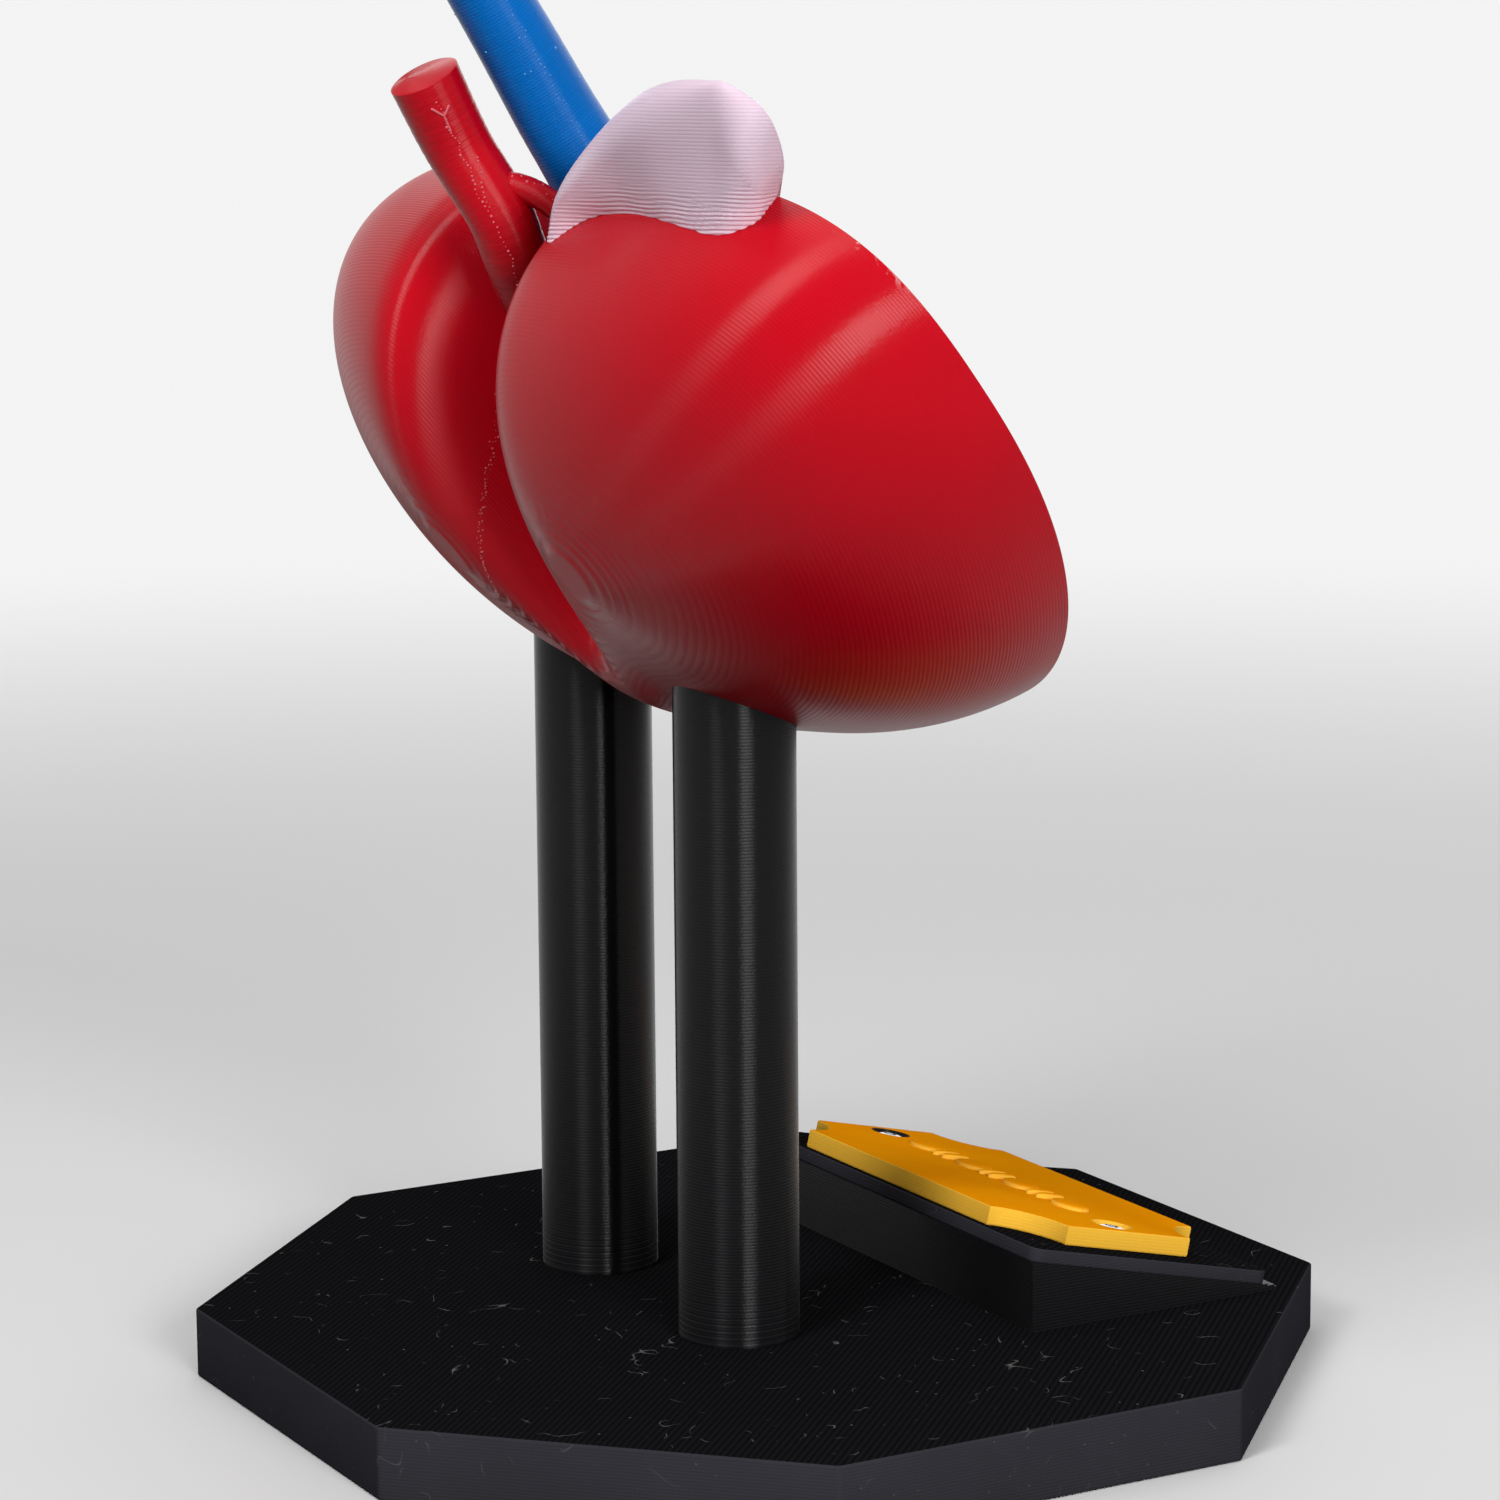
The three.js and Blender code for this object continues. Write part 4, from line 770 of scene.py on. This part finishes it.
def slab_rings(outline, low, high, edge):
    """Rings of a flat slab with rounded edges: the outline drawn in by a quarter circle at the bottom
    and again at the top."""
    ahead, behind = np.roll(outline, -1, axis=0), np.roll(outline, 1, axis=0)
    way = (ahead - outline) / np.linalg.norm(ahead - outline, axis=1)[:, None]
    way = way + (outline - behind) / np.linalg.norm(outline - behind, axis=1)[:, None]
    inward = np.stack([-way[:, 1], way[:, 0]], 1) / np.linalg.norm(way, axis=1)[:, None]
    bend = np.linspace(0, np.pi / 2, EDGE_POINTS)
    inset = np.concatenate([edge * (1 - np.sin(bend)), edge * (1 - np.cos(bend))])
    height = np.concatenate([low + edge * (1 - np.cos(bend)), high - edge * (1 - np.sin(bend))])
    flat = outline[None] + inward[None] * inset[:, None, None]
    return np.concatenate([flat, np.broadcast_to(height[:, None, None], flat.shape[:2] + (1,))], -1)


def printed_paths(tree, coords):
    """Height of the last layer's paths, a row of arches counted along the diagonal."""
    across = add_node(tree, "VectorMath", {0: coords, 1: DIAGONAL}, operation="DOT_PRODUCT")
    return arches(tree, across.outputs["Value"], PATH_SPACING)


def add_relief(tree, surface, height, depth):
    """Adds a coarser relief, so many metres deep, to the one that a surface already has."""
    fine = surface.inputs["Normal"].links[0].from_socket
    bump = add_node(tree, "Bump", {
        "Height": height, "Distance": depth, "Strength": RELIEF_STRENGTH, "Normal": fine})
    tree.links.new(bump.outputs[0], surface.inputs["Normal"])


# Black PLA: near black with a satin sheen. Printed flat and gathered full of dust it is matt: its top
# shows the diagonal paths of the last layer, short grey fibres and specks, its sides level layers. Its
# sides are painted a lighter grey than its top, a painted sheen.
black, *_ = layered_plastic("satin_pla_black", "#08080A", "#101013", 0.33, (0.0, 0.0, 1.0), 0.03)
# The greys given here colour the sides, lighter than the top: a painted sheen.
dusty_sheened, tree, surface, shade, coords = layered_plastic(
    "dusty_sheened_pla_black", "#2C2C31", "#3A3A40", 0.6, (0.0, 0.0, 1.0), 0.03, 0.0, 0.0)
TOP_LEVELS = (0.8, 0.95)  # upward parts of a normal between which a side turns into the top
# Lint and specks: how many to a metre, how wide they are in the noise, and how much of it shows them.
LINT, LINT_WIDTH, LINT_PATCHES, PATCH_LEVELS = 170.0, (0.002, 0.007), 250.0, (0.6, 0.68)
SPECKS, SPECK_SIZE, SPECKS_LEFT_OUT = 520.0, (0.05, 0.11), 0.86
DUST_ON_SIDES, DUST_ON_TOP = 0.1, 0.3  # how strongly they show
facing = add_node(tree, "NewGeometry")
level = add_node(tree, "SeparateXYZ", {0: facing.outputs["Normal"]})
top = add_node(tree, "MapRange", {
    "Value": level.outputs["Z"], "From Min": TOP_LEVELS[0], "From Max": TOP_LEVELS[1]})
paths = printed_paths(tree, coords)
on_top = add_node(tree, "Math", {0: paths, 1: top}, operation="MULTIPLY")
add_relief(tree, surface, on_top, 0.02 * MM)
grooved = add_node(tree, "Mix", {0: paths, 6: linear("#0C0C0E"), 7: linear("#18181A")}, data_type="RGBA")
# Sides in the lighter painted sheen, the top in its printed paths.
sheened_sides_and_top = add_node(tree, "Mix", {0: top, 6: shade.outputs[2], 7: grooved.outputs[2]}, data_type="RGBA")
curl = add_node(tree, "TexNoise", {"Vector": coords, "Scale": LINT, "Detail": 1.0})
off_line = add_node(tree, "Math", {0: curl, 1: 0.5}, operation="SUBTRACT")
near_line = add_node(tree, "Math", {0: off_line}, operation="ABSOLUTE")
hair = add_node(tree, "MapRange", {
    "Value": near_line, "From Min": LINT_WIDTH[0], "From Max": LINT_WIDTH[1], "To Min": 1.0, "To Max": 0.0})
patch = add_node(tree, "TexNoise", {"Vector": coords, "Scale": LINT_PATCHES, "Detail": 1.0})
some = add_node(tree, "MapRange", {"Value": patch, "From Min": PATCH_LEVELS[0], "From Max": PATCH_LEVELS[1]})
lint = add_node(tree, "Math", {0: hair, 1: some}, operation="MULTIPLY")
grains = add_node(tree, "TexVoronoi", {"Vector": coords, "Scale": SPECKS})
speck = add_node(tree, "MapRange", {
    "Value": grains.outputs["Distance"], "From Min": SPECK_SIZE[0], "From Max": SPECK_SIZE[1],
    "To Min": 1.0, "To Max": 0.0})
lucky = add_node(tree, "SeparateXYZ", {0: grains.outputs["Color"]})
few = add_node(tree, "Math", {0: lucky.outputs["X"], 1: SPECKS_LEFT_OUT}, operation="GREATER_THAN")
specks = add_node(tree, "Math", {0: speck, 1: few}, operation="MULTIPLY")
dust = add_node(tree, "Math", {0: lint, 1: specks}, operation="MAXIMUM")
amount = add_node(tree, "MapRange", {"Value": top, "To Min": DUST_ON_SIDES, "To Max": DUST_ON_TOP})
fainter = add_node(tree, "Math", {0: dust, 1: amount}, operation="MULTIPLY")
greyed = add_node(tree, "Mix", {0: fainter, 6: sheened_sides_and_top.outputs[2], 7: linear("#A4A2A0")}, data_type="RGBA")
tree.links.new(greyed.outputs[2], surface.inputs["Base Color"])

reach = BASE_ACROSS / 2 / np.cos(np.pi / 8)
turns = np.pi / 4 * (np.arange(8) + 0.5)
octagon = rounded_corners(np.stack([reach * np.cos(turns), reach * np.sin(turns)], 1), BASE_CORNER, 5)
base = new_piece("base_slab", *skin(slab_rings(octagon, 0, BASE_THICK, BASE_EDGE) * MM), dusty_sheened)
finished(base, "black_print", "base_plate")


# Posts: two round columns printed upright in black and set in the base, with a few coarser rings near
# the foot. Their tops are cut to the kidney's back.
POST_RADIUS, POSTS_X, POSTS_Y, POSTS_APART, POST_TOP = 8.45, 2.6, 14.0, 41.9, 112.0
POST_PLACES = {"post_left": POSTS_X - POSTS_APART / 2, "post_right": POSTS_X + POSTS_APART / 2}
FOOT_ROUNDING, FOOT_HEIGHT, FINE_TOP = 0.12, 0.15, 24
COARSE_RISE, COARSE_LAYERS, COARSE_TOP, COARSE_FADE = 0.035, 3, 20, 8


def turned_form(x, y, radius, height, sides):
    """Rings of a form on an upright axis at x and y: the radii and heights of a profile carried round."""
    radius, height, angle = np.array(radius)[:, None], np.array(height)[:, None], full_turn(sides)
    return np.stack(np.broadcast_arrays(x + radius * np.cos(angle), y + radius * np.sin(angle), height), -1)


height = np.concatenate([
    [BASE_THICK, BASE_THICK + FOOT_HEIGHT], np.arange(BASE_THICK + LAYER, FINE_TOP, LAYER / 3),
    np.linspace(FINE_TOP, POST_TOP, 60)])
coarse = COARSE_RISE * np.abs(np.sin(np.pi * height / (COARSE_LAYERS * LAYER)))
coarse = coarse * smooth_step((COARSE_TOP - height) / COARSE_FADE)
radius = POST_RADIUS + coarse - FOOT_ROUNDING * (height <= BASE_THICK)
for node, x in POST_PLACES.items():
    post = new_piece(node + "_column", *skin(turned_form(x, POSTS_Y, radius, height, 96) * MM), black)
    fuse(post, new_piece("plug", *skin(plug_skin), black), "DIFFERENCE")
    round_off(post, 40)
    finished(post, "black_print", node)


# Nameplate stand: a wedge glued to the base, a backing on its slope and a gold plate with scooped
# corners, held by two button-head screws. Its slope has a frame of its own, y up the slope.
WEDGE_LENGTH, WEDGE_RUN, WEDGE_HEIGHT, WEDGE_NOSE, WEDGE_BACK = 79.0, 41.6, 10.0, 0.4, -20.9
BACKING_WIDTH, BACKING_LOW, BACKING_HIGH, BACKING_CORNER, BACKING_EDGE = 41.0, 0.05, 2.05, 2.0, 0.25
PLATE_LENGTH, PLATE_WIDTH, PLATE_MARGIN, PLATE_LOW, PLATE_HIGH, PLATE_EDGE = 70.0, 35.5, 0.9, 2.1, 4.9, 0.3
SCOOP_LENGTH, SCOOP_WIDTH = 9.6, 7.1
SCREW_PLACES, SCREW_HEAD, SCREW_SINK, SCREW_ROOM = (-30.5, 30.5), 2.75, 2.0, 0.3
PLATE_Y = -PLATE_MARGIN - PLATE_WIDTH / 2
slope = np.arctan((WEDGE_HEIGHT - WEDGE_NOSE) / WEDGE_RUN)
SLOPE_AXES = np.array([[1, 0, 0], [0, np.cos(slope), np.sin(slope)], [0, -np.sin(slope), np.cos(slope)]])


def from_slope(points):
    """Millimetres in the frame of the wedge's slope to metres in the model's frame."""
    return (np.asarray(points) @ SLOPE_AXES + [0, WEDGE_BACK, BASE_THICK + WEDGE_HEIGHT]) * MM


steps = np.arange(0, WEDGE_HEIGHT - WEDGE_NOSE, LAYER)
tread = WEDGE_RUN / (WEDGE_HEIGHT - WEDGE_NOSE)
stairs = np.stack([
    np.repeat(WEDGE_BACK - steps * tread, 2)[1:], np.repeat(BASE_THICK + WEDGE_HEIGHT - steps, 2)[:-1]], 1)
nose = WEDGE_BACK - WEDGE_RUN
side = np.vstack([stairs, [[nose, stairs[-1, 1]], [nose, BASE_THICK], [WEDGE_BACK, BASE_THICK]]])
ends = np.array([-1, 1]) * WEDGE_LENGTH / 2
rings = np.stack([np.column_stack([np.full(len(side), x), side]) for x in ends])
wedge = new_piece("wedge_block", *skin(rings * MM), black, 20)
finished(wedge, "black_print", "nameplate_wedge")

half, low_edge = WEDGE_LENGTH / 2, -BACKING_WIDTH
corners = np.array([[-half, 0], [-half, low_edge], [half, low_edge], [half, 0]])
outline = rounded_corners(corners, BACKING_CORNER, 9)
board = slab_rings(outline, BACKING_LOW, BACKING_HIGH, BACKING_EDGE)
backing = new_piece("backing_board", *skin(from_slope(board)), dusty_sheened, 30)
finished(backing, "black_print", "nameplate_backing")

# Gold silk PLA: warm orange gold, with a paler gold painted on its rounded edges and walls: a painted
# glint. Its face shows the same diagonal paths as the base.
SLOPE_NORMAL, WALL_LEVELS = SLOPE_AXES[2].tolist(), (0.9, 0.5)
gold, tree, surface, shade, coords = layered_plastic(
    "silk_pla_gold", "#E88800", "#F8A208", 0.36, SLOPE_NORMAL, 0.02, 0.0, 0.0)
facing = add_node(tree, "NewGeometry")
level = add_node(tree, "VectorMath", {0: facing.outputs["Normal"], 1: SLOPE_NORMAL}, operation="DOT_PRODUCT")
wall = add_node(tree, "MapRange", {
    "Value": level.outputs["Value"], "From Min": WALL_LEVELS[0], "From Max": WALL_LEVELS[1]})
# A paler gold on the walls and rounded edges: a painted glint.
painted_glint = add_node(tree, "Mix", {0: wall, 6: shade.outputs[2], 7: linear("#FFC440")}, data_type="RGBA")
tree.links.new(painted_glint.outputs[2], surface.inputs["Base Color"])
add_relief(tree, surface, printed_paths(tree, coords), 0.015 * MM)

x, y = PLATE_LENGTH / 2, PLATE_WIDTH / 2
bend = np.linspace(0, np.pi / 2, 20)
corners = []
for across_sign, up_sign, start in ((1, 1, 1.5), (-1, 1, 0.0), (-1, -1, 0.5), (1, -1, 1.0)):
    turned = start * np.pi - bend
    corners.append(np.stack([
        across_sign * x + SCOOP_LENGTH * np.cos(turned), up_sign * y + SCOOP_WIDTH * np.sin(turned)], 1))
outline = np.concatenate(corners) + [0, PLATE_Y]
slab = slab_rings(outline, PLATE_LOW, PLATE_HIGH, PLATE_EDGE)
plate = new_piece("gold_plate", *skin(from_slope(slab)), gold, 30)
seat_radius, seat_low = SCREW_HEAD + SCREW_ROOM, PLATE_HIGH - SCREW_SINK
for x in SCREW_PLACES:  # the cutters are black, and leave the right screw's recess black
    cutter = turned_form(x, PLATE_Y, [seat_radius] * 2, [seat_low, PLATE_HIGH + 2], 48)
    fuse(plate, new_piece("cutter", *skin(from_slope(cutter)), black), "DIFFERENCE")
round_off(plate, 30)
finished(plate, "gold_print", "nameplate")

# Bead-and-reel moulding along the plate, printed with it: oval beads with pairs of reels between, each
# a low cushion whose height falls off with the fourth power of the distance from its middle.
BEAD_LENGTH, REEL_LENGTH, REEL_GAP, FRIEZE_WIDTH, FRIEZE_PERIOD, BEADS = 7.0, 1.5, 1, 5.0, 13.0, 4
BEAD_RISE, BEAD_FOOT, FRIEZE_SINK = 0.8, 0.25, 0.2
places = (np.arange(BEADS) - (BEADS - 1) / 2) * FRIEZE_PERIOD
reels = (places[:-1, None] + FRIEZE_PERIOD / 2 + np.array([-1, 1]) * (REEL_LENGTH + REEL_GAP) / 2).ravel()
for label, middles, length in (("bead", places, BEAD_LENGTH), ("reel", reels, REEL_LENGTH)):
    for number, middle in enumerate(middles):
        out = np.linspace(0.02, 1, 14)[:, None]
        angle = full_turn(48)[None, :]
        high = PLATE_HIGH + BEAD_RISE * (BEAD_FOOT + (1 - BEAD_FOOT) * (1 - out ** 4) ** 0.5)
        cushion = np.stack(np.broadcast_arrays(
            middle + length / 2 * out * np.cos(angle),
            PLATE_Y + FRIEZE_WIDTH / 2 * out * np.sin(angle), high), -1)
        foot = cushion[-1:].copy()
        foot[..., 2] = PLATE_HIGH - FRIEZE_SINK
        rings = np.concatenate([cushion, foot])
        piece = new_piece(f"plate_{label}_{number + 1}", *skin(from_slope(rings)), gold, 40)
        finished(piece, "gold_print")

# Screws: M3 button heads of zinc-plated steel with a hexagon socket, which hold the plate and are sunk
# in it. The plating is bright, with fine dull patches.
SCREW_FOOT = ([0.9, 1.5, 1.5, 2.6, SCREW_HEAD], [-7.5, -7.0, 0, 0, 0.15])  # radii, and heights over the seat
HEAD_RIM, HEAD_CROWN, HEX_ACROSS, HEX_FLOOR = 0.5, 1.1, 2, 0.6
PLATING, PLATING_ROUGHNESS = 900.0, (0.16, 0.4)  # per metre: patches of about 1.1 mm
steel, tree, output = new_material("zinc_plated_steel")
coords = add_node(tree, "TexCoord").outputs["Object"]
cloud = add_node(tree, "TexNoise", {"Vector": coords, "Scale": PLATING, "Detail": 4.0})
rough = add_node(tree, "MapRange", {
    "Value": cloud, "To Min": PLATING_ROUGHNESS[0], "To Max": PLATING_ROUGHNESS[1]})
tone = add_node(tree, "Mix", {0: cloud, 6: linear("#A8ABB0"), 7: linear("#CFD2D6")}, data_type="RGBA")
surface = add_node(tree, "BsdfPrincipled", {
    "Base Color": tone.outputs[2], "Roughness": rough, "Metallic": 1.0})
tree.links.new(surface.outputs[0], output.inputs["Surface"])
seat = seat_low + SCREW_ROOM
bend = np.linspace(0, np.pi / 2, 10)[1:-1]
radius = np.concatenate([SCREW_FOOT[0], SCREW_HEAD * np.cos(bend)])
high = np.concatenate([SCREW_FOOT[1], HEAD_RIM + HEAD_CROWN * np.sin(bend)])
for node, x in zip(("nameplate_screw_left", "nameplate_screw_right"), SCREW_PLACES):
    rings = turned_form(x, PLATE_Y, radius, seat + high, 48)
    screw = new_piece(node + "_button", *skin(from_slope(rings)), steel, 40)
    socket = turned_form(x, PLATE_Y, [HEX_ACROSS / 3 ** 0.5] * 2, [seat + HEX_FLOOR, seat + 3], 6)
    fuse(screw, new_piece("cutter", *skin(from_slope(socket)), steel), "DIFFERENCE")
    round_off(screw, 35)
    finished(screw, "screw_steel", node)
